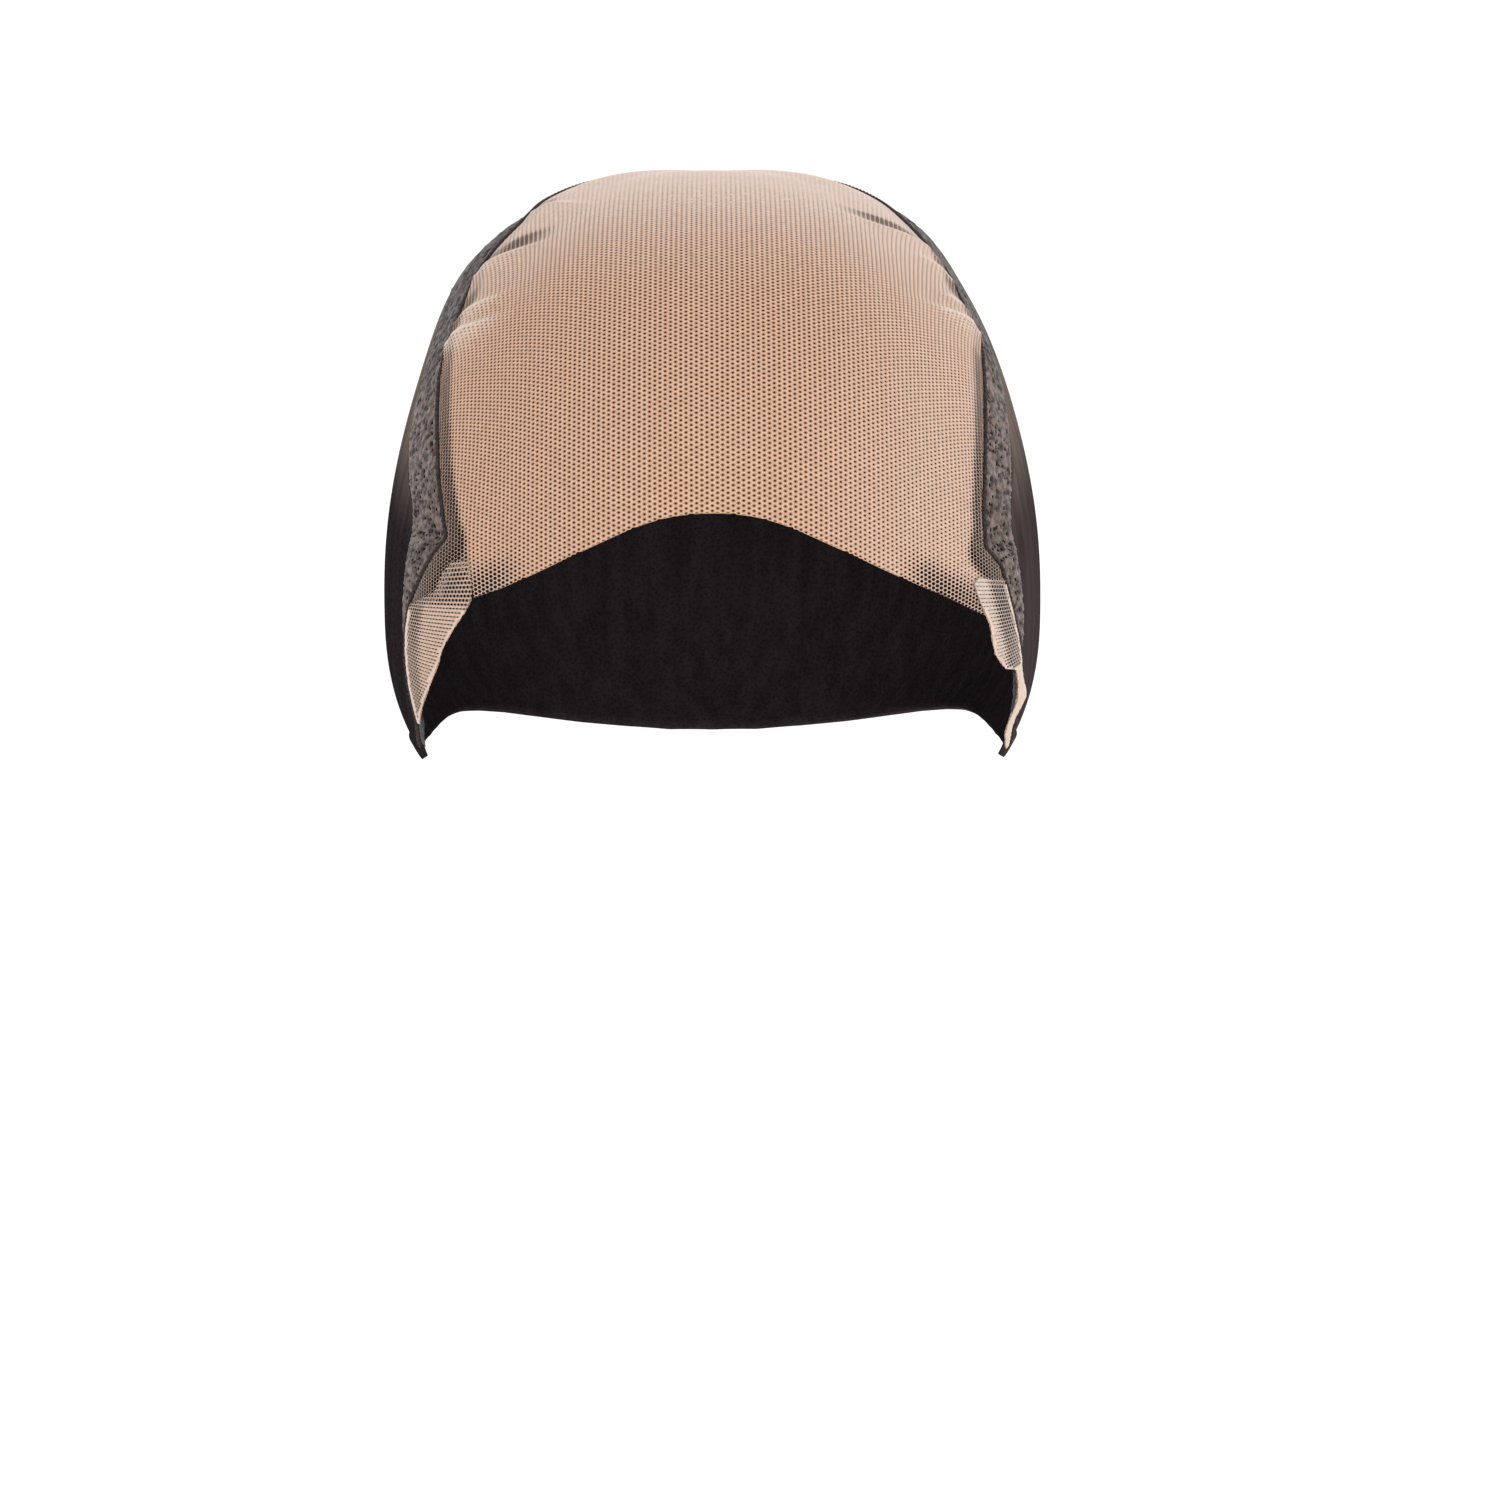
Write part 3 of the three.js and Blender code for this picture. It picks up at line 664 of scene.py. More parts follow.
def lace_marks(plane, ridge):
    """Ridge; painted shade where the net is pulled open; and folded cloth with painted highlight on
    the crests and painted sheen over the top and the right.
    """
    strip, hollow, end, crest, rise, spread = lace_state(plane[:, 0], plane[:, 1])
    # painted sheen over the top and the right, and painted highlight on the crests
    top = TOP_SHEEN * smoothstep(rise, *TOP_SHEEN_RISES)
    right = RIGHT_SHEEN * smoothstep(spread, *RIGHT_SHEEN_SPREADS)
    pale = 1 - (1 - top) * (1 - right)
    pale = np.maximum(np.maximum(crest, PALE_END * end), pale)
    # painted shade on the threads of the open net
    open_net_shade = STRIP_SHADE * strip + HOLLOW_SHADE * hollow + END_SHADE * end
    return np.stack([ridge, open_net_shade, pale], -1)


half = int(NET_REACH / LACE_PITCH[0])
columns = (-half, half + 1)
rows = (int(MIDDLE_AT[0] / LACE_PITCH[1]), int(MIDDLE_AT[-1] / LACE_PITCH[1]) + 1)
points, quads, flat, ridge = hexagon_net(
    lace_surface, lace_snap, lace_holes, LACE_PITCH, columns, rows
)
lace_front = make_piece("lace_front_net", points, quads, flat, lace_marks(flat, ridge))
lace_front.data.materials.append(LACE)
report(lace_front)
print(f"lace cut: {np.ptp(flat[:, 0]) / MM:.0f} x {np.ptp(flat[:, 1]) / MM:.0f} mm")

# %% [markdown]
# ## Temple tabs
# Each tab is the same lace, turned a quarter and folded double, so its columns of cells lie across
# it and look like ribs. Two nets lie half a cell apart. Both edges are folded and closed. The
# right tab is cut off short; only a narrow strip of it goes on down, and curls away.

# %% Temple tabs
TAB_STAND_OFF, TAB_LIFT, TAB_LAYER = 1.6 * MM, 0.75 * MM, 0.25 * MM
TABS = {  # rise, spread of the front edge and of the rear edge, share of the stand-off
    "left": [
        [-12.8, 45.8, 46.5, 0],
        [-9.9, 45.0, 47.3, 0],
        [-6.2, 43.7, 48.4, 0],
        [-2.0, 42.2, 49.2, 0],
        [1.8, 40.8, 49.6, 0],
        [4.8, 39.7, 49.4, 0],
        [7.2, 38.2, 49.1, 0],
        [9.7, 36.3, 48.4, 0],
        [11.7, 34.6, 47.7, 0],
        [13.0, 33.7, 46.8, 0],
        [13.8, 33.2, 43.6, 0],
        [15.4, 32.8, 39.8, 0],
        [18.4, 32.8, 37.9, 0],
        [20.1, 32.8, 35.6, 0],
    ],
    "right": [
        [-21.0, 47.4, 48.2, 0.2],
        [-18.0, 46.0, 47.4, 0.4],
        [-14.5, 44.9, 46.7, 0.6],
        [-12.0, 45.0, 47.0, 0.8],
        [-10.3, 45.4, 48.4, 1.0],
        [-9.0, 46.2, 50.0, 1.0],
        [-7.6, 47.2, 50.2, 0.8],
        [-5.0, 47.8, 49.8, 0.5],
        [-1.8, 47.6, 49.8, 0.2],
        [-0.6, 44.8, 50.1, 0.1],
        [2.8, 42.4, 49.5, 0],
        [5.2, 41.5, 48.8, 0],
        [7.3, 41.0, 48.0, 0],
        [9.0, 40.5, 47.3, 0],
        [10.8, 39.5, 46.6, 0],
        [13.0, 38.2, 45.7, 0],
        [16.3, 36.4, 44.2, 0],
        [17.3, 37.4, 43.8, 0],
    ],
}
TABS = {side: np.array(rows) for side, rows in TABS.items()}
TAB_LOOK = {  # widths of the rear fold and of the ribs beside it, holes in the ribs and past them
    "left": {"edge": 1.4 * MM, "ribs": 6.5 * MM, "near": 0.66, "far": 0.26},
    "right": {"edge": 0.8 * MM, "ribs": 7.0 * MM, "near": 0.72, "far": 0.16},
}
# pale is the tab's double cloth with painted highlight, strongest on the right tab's curled strip;
# grey is painted shade
TAB_LOOK["left"].update(fold_to=11.5, pale=0.30, grey=0.1)  # top of the rear fold, and tone
TAB_LOOK["right"].update(fold_to=16.5, pale=0.75, grey=0.2)
RIBS_BEFORE, RIBS_AFTER = 1.5 * MM, 2.5 * MM  # the change from ribs to plain net, about their edge
FRONT_FOLD, FRONT_FOLD_TO, STRIP_FROM = 0.9 * MM, 12, -1.2
CLOSED_HOLE, RIB_HOLE, TOP_RISES = 0.08, 0.95, (11, 14)
# the folded edges are paler as more cloth and as painted highlight; the rib value is painted shade
# on the open ribs; the ridge values set how much painted shade the holes get
REAR_PALE, FRONT_PALE, RIB_SHADE, FOLD_RIDGE, LEAST_RIDGE = 0.8, 0.5, 0.3, 0.9, 0.35
TAB_ACROSS = (48 * MM, 90 * MM)  # the part of the flat net that a tab is cut from


def temple_tab(side):
    """A place on the tab is its length down the middle of the cap and its distance from it, as for
    the lace, so that ribs run level."""
    table, look, sign = TABS[side], TAB_LOOK[side], SIDES[side]
    low, high = np.interp(table[[0, -1], 0], RISES, MIDDLE_AT)

    def edges(rise):
        """The front and rear edges as distances from the middle of the cap."""
        ahead, behind = (np.interp(rise, table[:, 0], table[:, k]) for k in (1, 2))
        behind = np.minimum(behind, np.interp(rise, EDGE[side][:, 0], EDGE[side][:, 1]))
        return [sign * sample(ACROSS_TABLE, rise, sign * at, SPREADS) for at in (ahead, behind)]

    def surface(along, across, height):
        rise, spread = lace_angles(across, along)
        toward = direction(rise, spread)
        off = np.interp(rise, table[:, 0], table[:, 3])
        lift = lace_lift(inside_seam(form_point(toward)[0]))
        return on_form(toward, lift + off * TAB_STAND_OFF + TAB_LIFT - LACE_LIFT + height)

    def snap(along, across):
        along = np.clip(along, low, high)
        ahead, behind = edges(np.interp(along, MIDDLE_AT, RISES))
        return along, sign * np.clip(sign * across, ahead, behind)

    def margins(along, across):
        """Distances from the front edge and from the rear edge, and the rise."""
        rise = np.interp(along, MIDDLE_AT, RISES)
        ahead, behind = edges(rise)
        return sign * across - ahead, behind - sign * across, rise

    def closed(front, rear, rise):
        """Where the cloth is folded at its edges, and all of the right tab's narrow strip."""
        folded = (rear < look["edge"]) & (rise < look["fold_to"])
        folded |= (front < FRONT_FOLD) & (rise < FRONT_FOLD_TO)
        return folded | (rise < STRIP_FROM) & (sign > 0)

    def past_ribs(rear):
        """0 among the ribs beside the rear edge, 1 in the closer net in front of them."""
        return smoothstep(rear, look["ribs"] - RIBS_BEFORE, look["ribs"] + RIBS_AFTER)

    def holes(along, across):
        front, rear, rise = margins(along, across)
        tall = look["near"] + (look["far"] - look["near"]) * past_ribs(rear)
        tall = np.maximum(tall, look["near"] * smoothstep(rise, *TOP_RISES) * (sign < 0))
        folded = closed(front, rear, rise)[..., None]
        return np.where(folded, CLOSED_HOLE, np.stack([tall, np.full_like(tall, RIB_HOLE)], -1))

    def marks(plane, ridge):
        front, rear, rise = margins(plane[:, 0], plane[:, 1])
        folded = closed(front, rear, rise)
        # painted highlight on the folds and over the tab, painted shade on the ribs and down in the
        # holes
        on_fold = np.where(rear < look["edge"], REAR_PALE, FRONT_PALE)
        pale = np.where(folded, on_fold, look["pale"])
        grey = np.where(folded, 0, look["grey"] + RIB_SHADE * (1 - past_ribs(rear)))
        thread = np.where(folded, FOLD_RIDGE, LEAST_RIDGE + (1 - LEAST_RIDGE) * ridge)
        return np.stack([thread, grey, pale], -1)

    parts, faces, flats, tones, start = [], [], [], [], 0
    columns = (int(low / TAB_PITCH[0]) - 2, int(high / TAB_PITCH[0]) + 3)
    rows = sorted(sign * int(at / TAB_PITCH[1]) for at in TAB_ACROSS)
    for layer in (0, 1):
        points, quads, plane, ridge = hexagon_net(
            lambda u, v, h: surface(u, v, h - layer * TAB_LAYER),
            snap,
            holes,
            TAB_PITCH,
            columns,
            rows,
            layer / 2,
        )
        parts.append(points)
        faces.append(quads + start)
        flats.append(plane)
        tones.append(marks(plane, ridge))
        start += len(points)
    flats = np.concatenate(flats)
    tab = make_piece(
        f"temple_tab_{side}_net",
        np.concatenate(parts),
        np.concatenate(faces),
        flats,
        np.concatenate(tones),
    )
    tab.data.materials.append(LACE)
    report(tab)
    print(f"{side} tab cut: {np.ptp(flats[:, 0]) / MM:.0f} x {np.ptp(flats[:, 1]) / MM:.0f} mm")
    return tab


tab_left = temple_tab("left")
tab_right = temple_tab("right")

# %% [markdown]
# ## Stretch band
# The band is a stretch lace: a soft bumpy strip with a few small eyelets. Real eyelets let the
# dark inside show through, so they are cut into the mesh: a lattice of square cells, some with an
# eight-sided hole whose size and place differ a little. Near the ear points and over the crown it
# is darker.

# %% Band material
def band_material():
    """Stretch lace: grey-brown knit whose bumps are painted paler and dips darker, as painted
    highlight and shade, and which is painted dark under the lace as painted shade. marks are:
    outside the border, and how dark it turns."""
    material, tree, shader = start_material("perforated stretch lace, grey-brown", 0.85, 0.2)
    place = add(tree, "ShaderNodeTexCoord").outputs["Object"]
    outside, dark = marks_of(tree)[:2]
    knit = noise(tree, 560.0, 4.0, place)
    # painted highlight and shade: the noise that bends the normal also paints the bumps pale and
    # the dips dark
    tone = two_tones(tree, knit, "#231917", "#74625c", 0.38, 0.64)
    tone = mix(tree, dark, tone, "#2b2524")
    # painted shade: the border under the lace is painted dark
    border = two_tones(tree, outside, "#2a2220", "#ffffff", 0.0, 1.0)
    tree.links.new(mix(tree, 1.0, tone, border, "MULTIPLY"), shader.inputs["Base Color"])
    bump(tree, shader, knit, 0.8, 0.5 * MM)
    shader.inputs["Sheen Weight"].default_value = 0.2
    return material


BAND = band_material()

# %% Stretch band
EYELET_CELL, EYELET_CHANCE = 1.6 * MM, 0.42
EYELET_SIZE, EYELET_SHIFT = (0.52, 0.80), 0.25  # shares of half a cell
EYELET_SINK, PLAIN_SWELL = 0.35 * MM, 0.05 * MM
PLAIN_EDGE, LEAST_CELL = 2.2 * MM, 0.05 * MM
EDGE_SINK, EDGE_ROLL = 0.5 * MM, 0.7 * MM  # the scalloped edge turns down, over this width
UNDER_LACE_SHADE_EDGE = 0.3 * MM  # the painted shade under the lace ends this far outside the seam
SCALLOP_PITCH, SCALLOP_DEPTH = 3.2 * MM, 0.35 * MM
BAND_TOP, BAND_JITTER = 1.0 * MM, 0.11 * MM
BAND_MOST = 24 * MM
TAPER_END, TAPER_LENGTH = 0.1, 22 * MM  # the border under the lace runs out to the ear points
DARK_RISES = {"left": (-6, 2), "right": (-5, 0)}  # the band turns dark below these
ARCH_DARK, ARCH_DARK_RISES = 0.65, (58, 66)  # and by this share above these
UV_PER_M = 100  # one unit of the band's uv is 10 mm
BULGES = [[-1, 87, 8, 1.7 * MM], [1, 97, 5, 1.3 * MM]]  # side, rise, half width, height
BULGE_FROM, BULGE_UNTIL = (0, 6 * MM), (18 * MM, 45 * MM)


def bulge(s, distance):
    """How far the band and the net behind it stand off at their slack places: the height times
    exp(-((rise - middle) / half width)^2), from just outside the seam to some way behind."""
    rise = edge_at(s)[..., 0]
    off = sum(
        height * np.exp(-(((rise - at) / wide) ** 2)) * (np.sign(s) == sign)
        for sign, at, wide, height in BULGES
    )
    return off * smoothstep(distance, *BULGE_FROM) * (1 - smoothstep(distance, *BULGE_UNTIL))


def stretch_band(seed):
    """Cells of half-step grid points round an eight-sided eyelet. A point past the band's width
    is moved to its scalloped edge, width - depth (1 - |sin(pi s / pitch)|), and cells wholly past
    it are dropped. Cells without an eyelet have it filled. Towards the ear points the border, the
    scallops and the bumps run out."""
    random = np.random.default_rng(seed)
    half = EYELET_CELL / 2
    cells_along = int((LEFT_LENGTH + RIGHT_LENGTH) / EYELET_CELL)
    s = np.linspace(-LEFT_LENGTH, RIGHT_LENGTH, 2 * cells_along + 1)
    first = -2 * int(UNDERLAP / EYELET_CELL)
    d = np.arange(first, 2 * int(BAND_MOST / EYELET_CELL) + 1) * half
    to_end = np.minimum(LEFT_LENGTH + s, RIGHT_LENGTH - s)
    taper = TAPER_END + (1 - TAPER_END) * smoothstep(to_end, 0, TAPER_LENGTH)
    notch = 1 - np.abs(np.sin(np.pi * s / SCALLOP_PITCH))
    width = across_band(s)[2] - SCALLOP_DEPTH * notch * taper
    step = s[1] - s[0]
    i, j = np.meshgrid(np.arange(cells_along), np.arange((len(d) - 1) // 2), indexing="ij")
    centre = np.stack([s[0] + (2 * i + 1) * step, d[0] + (2 * j + 1) * half], -1)
    inside = centre[..., 1] - half < np.interp(centre[..., 0], s, width) - LEAST_CELL
    i, j, centre = i[inside], j[inside], centre[inside]
    room = np.interp(centre[:, 0], s, width) - centre[:, 1]
    chance = random.random(len(i)) < EYELET_CHANCE
    pierced = (centre[:, 1] > half) & (room > PLAIN_EDGE) & chance
    radius = half * random.uniform(*EYELET_SIZE, len(i))
    shift = random.uniform(-EYELET_SHIFT, EYELET_SHIFT, (len(i), 2)) * half
    around = np.array([[-1, -1], [0, -1], [1, -1], [1, 0], [1, 1], [0, 1], [-1, 1], [-1, 0]])
    rim = (2 * i[:, None] + 1 + around[:, 0]) * len(d) + 2 * j[:, None] + 1 + around[:, 1]
    hole = (centre + shift)[:, None] + unit(around.astype(float)) * radius[:, None, None]
    grid = np.stack(np.meshgrid(s, d, indexing="ij"), -1).reshape(-1, 2)
    plane = np.concatenate([grid, hole.reshape(-1, 2)])
    limit = np.interp(plane[:, 0], s, width)
    border = plane[:, 1] * np.interp(plane[:, 0], s, taper)
    plane[:, 1] = np.where(plane[:, 1] < 0, border, plane[:, 1])
    plane[:, 1] = np.minimum(plane[:, 1], limit)
    inner = len(grid) + np.arange(len(i))[:, None] * 8 + np.arange(8)
    after = np.roll(np.arange(8), -1)
    quads = np.stack([rim, rim[:, after], inner[:, after], inner], -1).reshape(-1, 4)
    fill = inner[~pierced]
    lids = np.stack([np.repeat(fill[:, :1], 6, axis=1), fill[:, 1:7], fill[:, 2:8]], -1)
    lift = np.full(len(plane), BAND_TOP)
    lift[: len(grid)] += random.normal(0, BAND_JITTER, len(grid)) * np.repeat(taper, len(d))
    lift[len(grid) :] -= np.repeat(np.where(pierced, EYELET_SINK, -PLAIN_SWELL), 8)
    lift -= EDGE_SINK * smoothstep(plane[:, 1], limit - EDGE_ROLL, limit)
    lift += bulge(plane[:, 0], plane[:, 1])
    points = on_form(beside_seam(plane[:, 0], plane[:, 1]), lift)
    rise = edge_at(plane[:, 0])[:, 0]
    left, right = (1 - smoothstep(rise, *DARK_RISES[side]) for side in SIDES)
    dark = np.where(plane[:, 0] < 0, left, right) + ARCH_DARK * smoothstep(rise, *ARCH_DARK_RISES)
    # the first mark is 0 under the lace, where the band is painted dark as shade
    marks = np.stack([smoothstep(plane[:, 1], 0, UNDER_LACE_SHADE_EDGE), dark, 0 * dark], -1)
    faces = quads.tolist() + lids.reshape(-1, 3).tolist()
    return make_piece("stretch_band_lace", points, faces, plane * UV_PER_M, marks)


band = stretch_band(seed=7)
band.data.materials.append(BAND)
report(band)

# %% [markdown]
# ## Seam
# The lace is overlocked to the band: a raised dark cord of thread with a stitch every millimetre
# or so. A tube is carried along the seam, and it swells at each stitch.

# %% Seam
STITCH_PITCH = 1.25 * MM
CORD_HALF_WIDTH, CORD_HALF_HEIGHT = 0.55 * MM, 0.45 * MM
CORD_SIDES, RINGS_A_STITCH, STITCH_SWELL = 8, 4, 0.22


def thread_material():
    """Overlock thread: spun polyester, near-black brown and matte, with fine fibres."""
    material, tree, shader = start_material("overlocked polyester thread, dark", 0.8, 0.2)
    fibre = noise(tree, 1600.0, 2.0, add(tree, "ShaderNodeTexCoord").outputs["Object"])
    tree.links.new(two_tones(tree, fibre, "#1a1413", "#3f3532"), shader.inputs["Base Color"])
    bump(tree, shader, fibre, 0.5, 0.15 * MM)
    return material


THREAD = thread_material()


def seam_cord():
    """At s along the seam and angle a round the cord: distance = middle + half width cos(a) and
    lift = base + half height (1 + sin(a)), where both the cosine and the sine are taken times
    1 + swell cos(2 pi s / stitch pitch)."""
    count = int((LEFT_LENGTH + RIGHT_LENGTH) / STITCH_PITCH) * RINGS_A_STITCH
    s = np.linspace(-LEFT_LENGTH, RIGHT_LENGTH, count)[:, None]
    a = np.linspace(0, 2 * np.pi, CORD_SIDES, endpoint=False)[None, :]
    swell = 1 + STITCH_SWELL * np.cos(2 * np.pi * s / STITCH_PITCH)
    distance = PIECE_GAP + CORD_HALF_WIDTH * (1 + swell * np.cos(a))
    lift = BAND_WALL + PIECE_GAP + CORD_HALF_HEIGHT * (1 + swell * np.sin(a))
    along = np.broadcast_to(s, distance.shape)
    points = on_form(beside_seam(along, distance), lift).reshape(-1, 3)
    quads = grid_quads(count, CORD_SIDES, close=True).tolist()
    last = (count - 1) * CORD_SIDES
    quads += [list(range(CORD_SIDES))[::-1], list(range(last, last + CORD_SIDES))]
    return make_piece("lace_seam_cord", points, quads)


seam = seam_cord()
seam.data.materials.append(THREAD)
report(seam)

# %% [markdown]
# ## Back
# The back is a dark stretch net, pulled smooth, with a stitched hem at its lower edge.
# Its mesh is too fine to show at this distance, so the net is a bump and a change of tone,
# while the fold beside the right temple and the hem are real shape. High up beside the band and
# on the right the net is painted paler, as painted sheen; the ridge of the fold is painted pale as
# a painted highlight, and fine streaks of painted sheen run down it.

# %% Back material
NET_PER_M, SHEEN_STREAK_PER_M = 1150.0, 260.0  # net cells of about 0.9 mm, painted sheen streaks of about 4 mm


def net_material():
    """Nylon stretch net: near-black, matte. marks are: painted sheen to the right, painted sheen
    high up, and painted highlight along the fold.
    """
    material, tree, shader = start_material("nylon stretch net, dark", 0.8, 0.0)
    place = add(tree, "ShaderNodeTexCoord").outputs["Object"]
    right_sheen, upper_sheen, folded = marks_of(tree)[:3]
    cells = add(tree, "ShaderNodeTexVoronoi", {"Scale": NET_PER_M}, {"Vector": place})
    cells = cells.outputs["Distance"]
    tone = two_tones(tree, cells, "#1b181a", "#2a2628", 0.1, 0.6)
    # painted sheen: the net is painted paler to the right and higher up
    tone = mix(tree, right_sheen, tone, "#3f3637")
    tone = mix(tree, upper_sheen, tone, "#6f645d")
    # painted highlight along the fold's ridge
    tone = mix(tree, folded, tone, "#6b6060")
    # painted sheen: fine vertical streaks of lighter and darker tone
    squash = add(tree, "ShaderNodeMapping", {"Scale": (1.0, 1.0, 0.06)}, {"Vector": place})
    sheen_streak = noise(tree, SHEEN_STREAK_PER_M, 2.0, squash.outputs[0])
    sheen_streak = two_tones(tree, sheen_streak, "#dedada", "#ffffff", 0.35, 0.65)
    tree.links.new(mix(tree, 1.0, tone, sheen_streak, "MULTIPLY"), shader.inputs["Base Color"])
    bump(tree, shader, cells, 0.4, 0.2 * MM)
    return material


NET = net_material()

# %% Back cap
LOWER_EDGE = np.array(  # azimuth, fall
    [
        [55.9, 17.9],
        [72, 23.5],
        [90, 27.4],
        [108, 28.2],
        [126, 29.8],
        [144, 33.0],
        [162, 36.6],
        [180, 38.5],
    ]
)
FOLD = np.array(  # a soft ridge beside the right temple, from the centre of the form, in mm
    [
        [67, -42, 41],
        [68, -45, 33],
        [69, -48, 27],
        [70, -47, 20],
        [72, -45, 10],
        [72, -47, -1],
        [70, -49, -10],
    ]
)
FOLD_HEIGHT, FOLD_WIDTH = 0.9 * MM, 1.3 * MM
# painted highlight along the fold's ridge: its strength and half width
FOLD_HIGHLIGHT, FOLD_HIGHLIGHT_WIDTH = 0.5, 0.6 * MM
NET_WALL, HEM_WIDTH, HEM_RISE, HEM_STEP = 0.9 * MM, 7 * MM, 0.7 * MM, 0.4 * MM
GROOVE_DEPTH, GROOVE_WIDTH = 0.35 * MM, 0.6 * MM
SHEEN_X, SHEEN_Z = (-10 * MM, 66 * MM), (-74 * MM, -46 * MM)  # painted sheen: paler to the right, and higher up
# the inside takes a tenth of the right side's painted sheen
INSIDE_MARKS = [0.1, 0, 0]
EDGE_GAP = 0.1 * MM
BACK_LONG, BACK_TALL = 361, 73


def back_cap():
    """Each line runs on a great circle from the band's edge to the lower edge. The outer face is
    raised at the hem, with a groove at its top, and along the fold; a wall joins it to the
    inner face, which lies on the form."""
    s = np.linspace(-LEFT_LENGTH, RIGHT_LENGTH, BACK_LONG)
    width = across_band(s)[2] + EDGE_GAP
    start = beside_seam(s, width)
    done = 1 - np.abs(s) / np.where(s < 0, LEFT_LENGTH, RIGHT_LENGTH)
    row = np.arange(len(LOWER_EDGE))
    azimuth = np.radians(np.interp(done * row[-1], row, LOWER_EDGE[:, 0]))
    fall = 0
    for step in (-0.5, 0, 0.5):  # a mean over one row, mirrored at the middle, rounds the table
        place = row[-1] - np.abs(row[-1] - done * row[-1] - step)
        fall = fall + np.radians(np.interp(place, row, LOWER_EDGE[:, 1])) / 3
    sign = np.where(s < 0, -1, 1)
    end = np.stack(
        [sign * np.cos(fall) * np.sin(azimuth), -np.cos(fall) * np.cos(azimuth), -np.sin(fall)],
        -1,
    )
    angle = np.arccos(np.clip((start * end).sum(-1), -1, 1))[:, None, None]
    share = np.linspace(0, 1, BACK_TALL)[None, :, None]
    near = np.sin((1 - share) * angle) / np.sin(angle)
    far = np.sin(share * angle) / np.sin(angle)
    toward = unit(near * start[:, None] + far * end[:, None])
    point = form_point(toward)[0]
    to_edge = np.linalg.norm(point - point[:, -1:], axis=-1)
    lift = NET_WALL + HEM_RISE * smoothstep(HEM_WIDTH - to_edge, -HEM_STEP, HEM_STEP)
    lift -= GROOVE_DEPTH * np.exp(-(((to_edge - HEM_WIDTH) / GROOVE_WIDTH) ** 2))
    from_fold = distance_to(FOLD * MM, point)
    lift += FOLD_HEIGHT * np.exp(-((from_fold / FOLD_WIDTH) ** 2))
    from_band = np.linalg.norm(point - point[:, :1], axis=-1)
    off = bulge(np.broadcast_to(s[:, None], from_band.shape), width[:, None] + from_band)
    # painted sheen, paler to the right and higher up
    right_sheen = smoothstep(point[..., 0], *SHEEN_X)
    upper_sheen = smoothstep(point[..., 2] - CROWN, *SHEEN_Z)
    folded = FOLD_HIGHLIGHT * np.exp(-((from_fold / FOLD_HIGHLIGHT_WIDTH) ** 2))
    marks = np.stack([right_sheen, upper_sheen, folded], -1).reshape(-1, 3)
    outer = on_form(toward, off + lift).reshape(-1, 3)
    inner = on_form(toward, off).reshape(-1, 3)
    quads = grid_quads(BACK_LONG, BACK_TALL)
    at = np.arange(BACK_LONG * BACK_TALL).reshape(BACK_LONG, BACK_TALL)
    rim = np.concatenate([at[:-1, 0], at[-1, :-1], at[:0:-1, -1], at[0, :0:-1]])
    after, below = np.roll(rim, -1), BACK_LONG * BACK_TALL
    wall = np.stack([rim, after, after + below, rim + below], -1)
    faces = np.concatenate([quads, quads[:, ::-1] + below, wall])
    marks = np.concatenate([marks, np.tile(INSIDE_MARKS, (below, 1))])
    return make_piece("back_cap_net", np.concatenate([outer, inner]), faces, marks=marks)


back = back_cap()
back.data.materials.append(NET)
report(back)

# %% [markdown]
# ## Which way the faces look
# A wall's faces must point outwards. The sign of the volume tells for a closed piece, and for an
# open sheet the faces should look away from the centre of the form.

# %% Turn faces outwards
for piece in (lace_front, tab_left, tab_right, band, seam, back):
    mesh = piece.data
    normals = np.zeros(len(mesh.polygons) * 3)
    centres = np.zeros(len(mesh.polygons) * 3)
    mesh.polygons.foreach_get("normal", normals)
    mesh.polygons.foreach_get("center", centres)
    normals, centres = normals.reshape(-1, 3), centres.reshape(-1, 3)
    if piece in (seam, back):  # closed: each face's share of the volume
        areas = np.zeros(len(mesh.polygons))
        mesh.polygons.foreach_get("area", areas)
        outward = ((centres * normals).sum(-1) * areas).sum()
    else:
        outward = ((centres + np.array([0, 0, CROWN])) * normals).sum()
    if outward < 0:
        mesh.flip_normals()
    print(piece.name, "turned" if outward < 0 else "already looks out")

# %% [markdown]
# ## Join the pieces to the frame
# Each piece stands for its solid: it rides on the root body, and the frame's solid under it is
# hidden.

# %% Ride and replace
PIECES = {
    "lace_front": (lace_front, "beige_lace"),
    "temple_tab_left": (tab_left, "beige_lace"),
    "temple_tab_right": (tab_right, "beige_lace"),
    "stretch_band": (band, "grey_band"),
    "lace_seam": (seam, "seam_thread"),
    "back_cap": (back, "dark_net"),
}
for node, (piece, finish) in PIECES.items():
    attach(piece, "root")
    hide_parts(node)

# %% [markdown]
# ## Floor, light and camera
# A plain pale floor, broad soft lights from the front and both sides, and a camera a little above
# the cap, as a phone held at arm's length and looking slightly down.

# %% Floor and light
FLOOR_DROP, FLOOR_HALF = 0.30, 40
WHITE_LIFT = 1.06  # a background just past white, as a photo of white paper is exposed


def stage_material():
    """Painted paper: plain, pale and matte."""
    material, tree, shader = start_material("matte white paper", 0.9, 0.5)
    shader.inputs["Base Color"].default_value = linear("#fbfbfa")
    return material


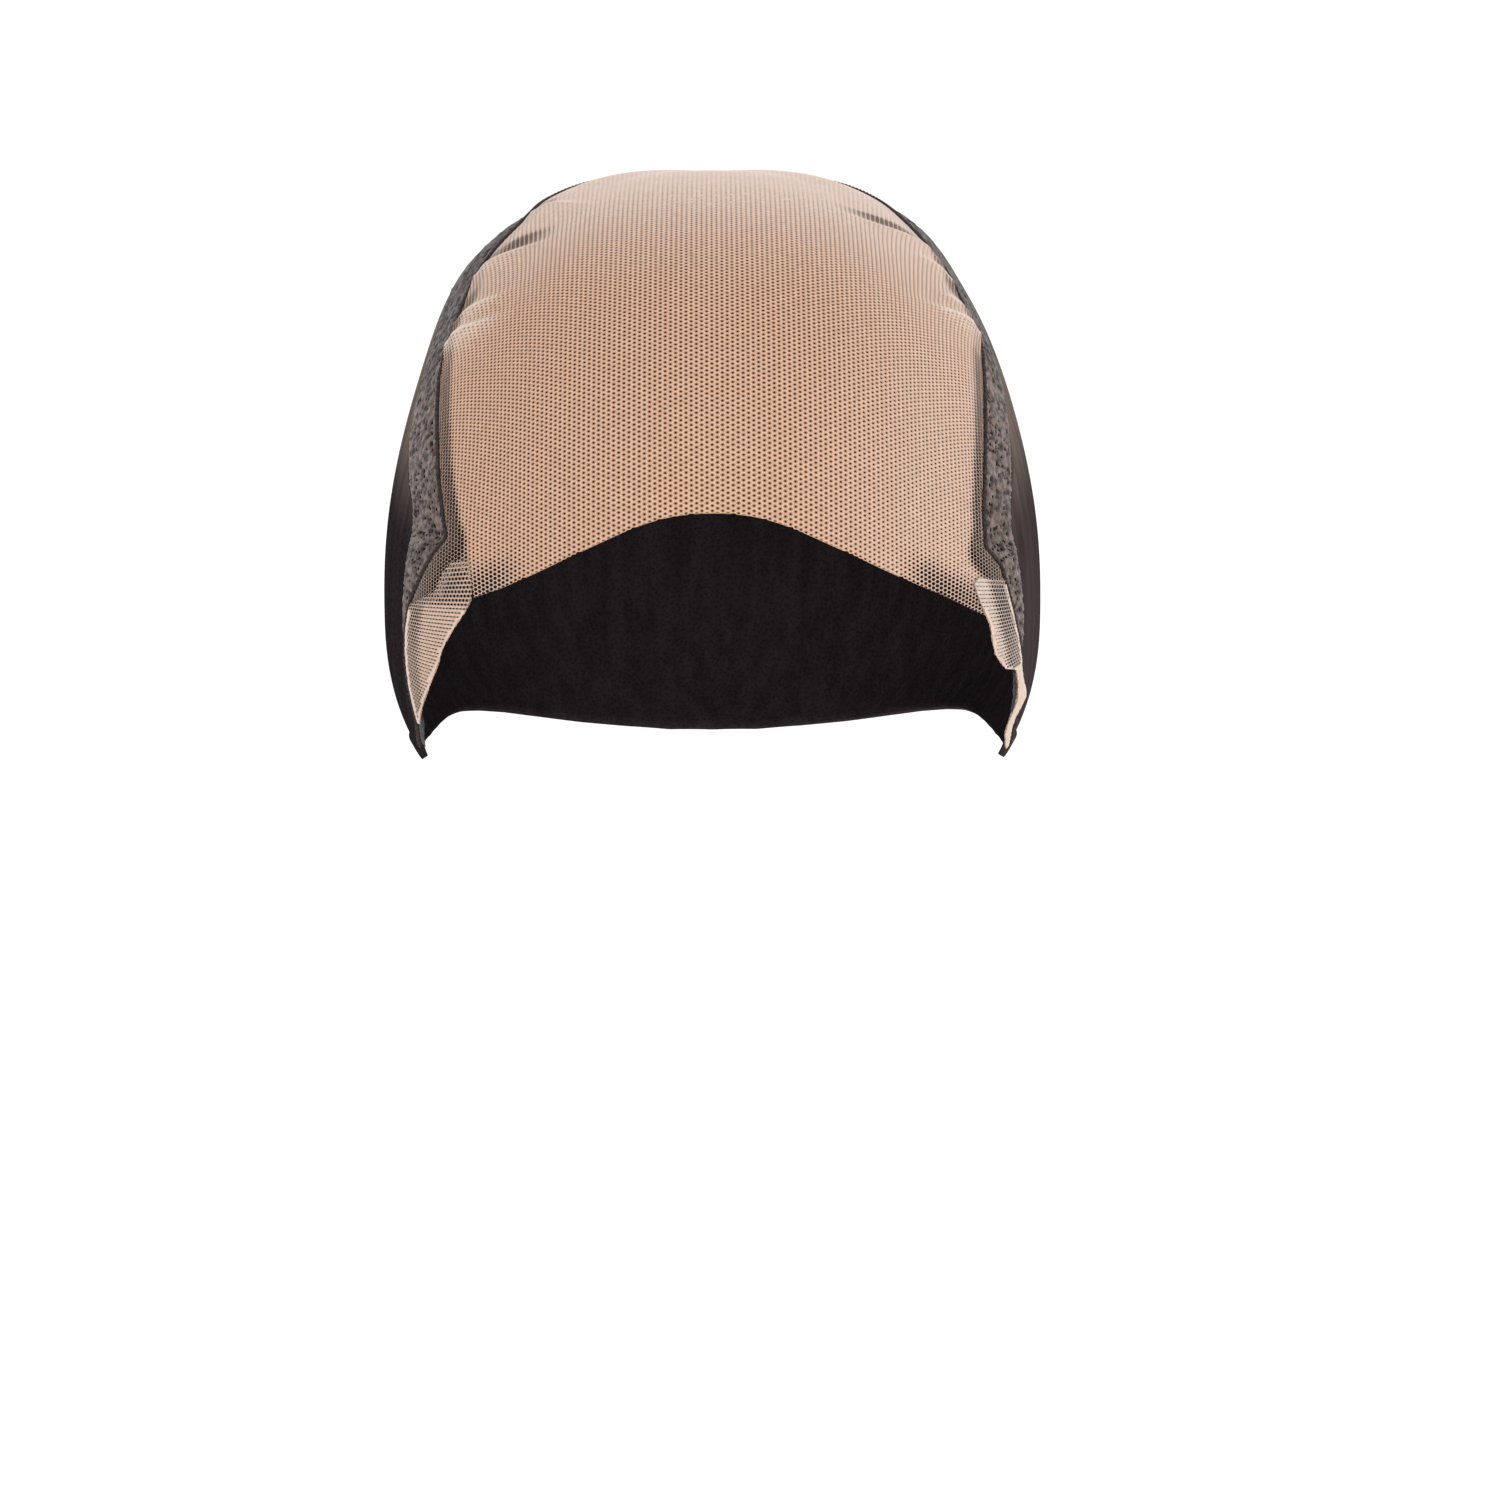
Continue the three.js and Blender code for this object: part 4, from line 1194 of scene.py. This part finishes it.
floor = make_piece(
    "floor",
    np.array([[-1, -1, 0], [1, -1, 0], [1, 1, 0], [-1, 1, 0]]) * FLOOR_HALF - [0, 0, FLOOR_DROP],
    [[0, 1, 2, 3]],
)
floor.data.materials.append(stage_material())

FORM_CENTRE = Vector((0, 0, -CROWN))


def soft_light(name, place, size, watts):
    """A square area light that looks at the centre of the form."""
    data = bpy.data.lights.new(name, "AREA")
    data.size, data.energy = size, watts
    light = bpy.data.objects.new(name, data)
    light.location = place
    light.rotation_euler = (FORM_CENTRE - Vector(place)).to_track_quat("-Z", "Y").to_euler()
    bpy.context.scene.collection.objects.link(light)


soft_light("front", (0.1, -1.5, 0.4), 1.0, 7.5)
soft_light("right", (1.4, -0.5, 0.3), 0.9, 3)
soft_light("left", (-1.5, -0.7, 0.4), 1.0, 0.8)
soft_light("back", (0.2, 1.3, 0.9), 1.0, 2)
world = bpy.data.worlds.new("studio")
world.use_nodes = True
world.node_tree.nodes["Background"].inputs["Color"].default_value = linear("#ffffff")
world.node_tree.nodes["Background"].inputs["Strength"].default_value = WHITE_LIFT
bpy.context.scene.world = world
bpy.context.scene.view_settings.view_transform = "Standard"

# %% Camera
CAMERA_LIFT = math.radians(15)
CAMERA_DISTANCE = 0.850
FOCAL_LENGTH, SENSOR_WIDTH = 85.5, 36  # mm
AIM_RIGHT, AIM_DOWN = 8.8 * MM, 37.9 * MM  # the cap sits above and left of the picture's middle
back_way = Vector((0, -math.cos(CAMERA_LIFT), math.sin(CAMERA_LIFT)))
up_way = Vector((0, math.sin(CAMERA_LIFT), math.cos(CAMERA_LIFT)))
camera_data = bpy.data.cameras.new("camera")
camera_data.lens, camera_data.sensor_width = FOCAL_LENGTH, SENSOR_WIDTH
camera_data.clip_start, camera_data.clip_end = 0.02, 50
camera = bpy.data.objects.new("camera", camera_data)
camera.location = FORM_CENTRE + back_way * CAMERA_DISTANCE
aim = FORM_CENTRE + Vector((AIM_RIGHT, 0, 0)) - up_way * AIM_DOWN
camera.rotation_euler = (aim - camera.location).to_track_quat("-Z", "Y").to_euler()
bpy.context.scene.collection.objects.link(camera)
bpy.context.scene.camera = camera
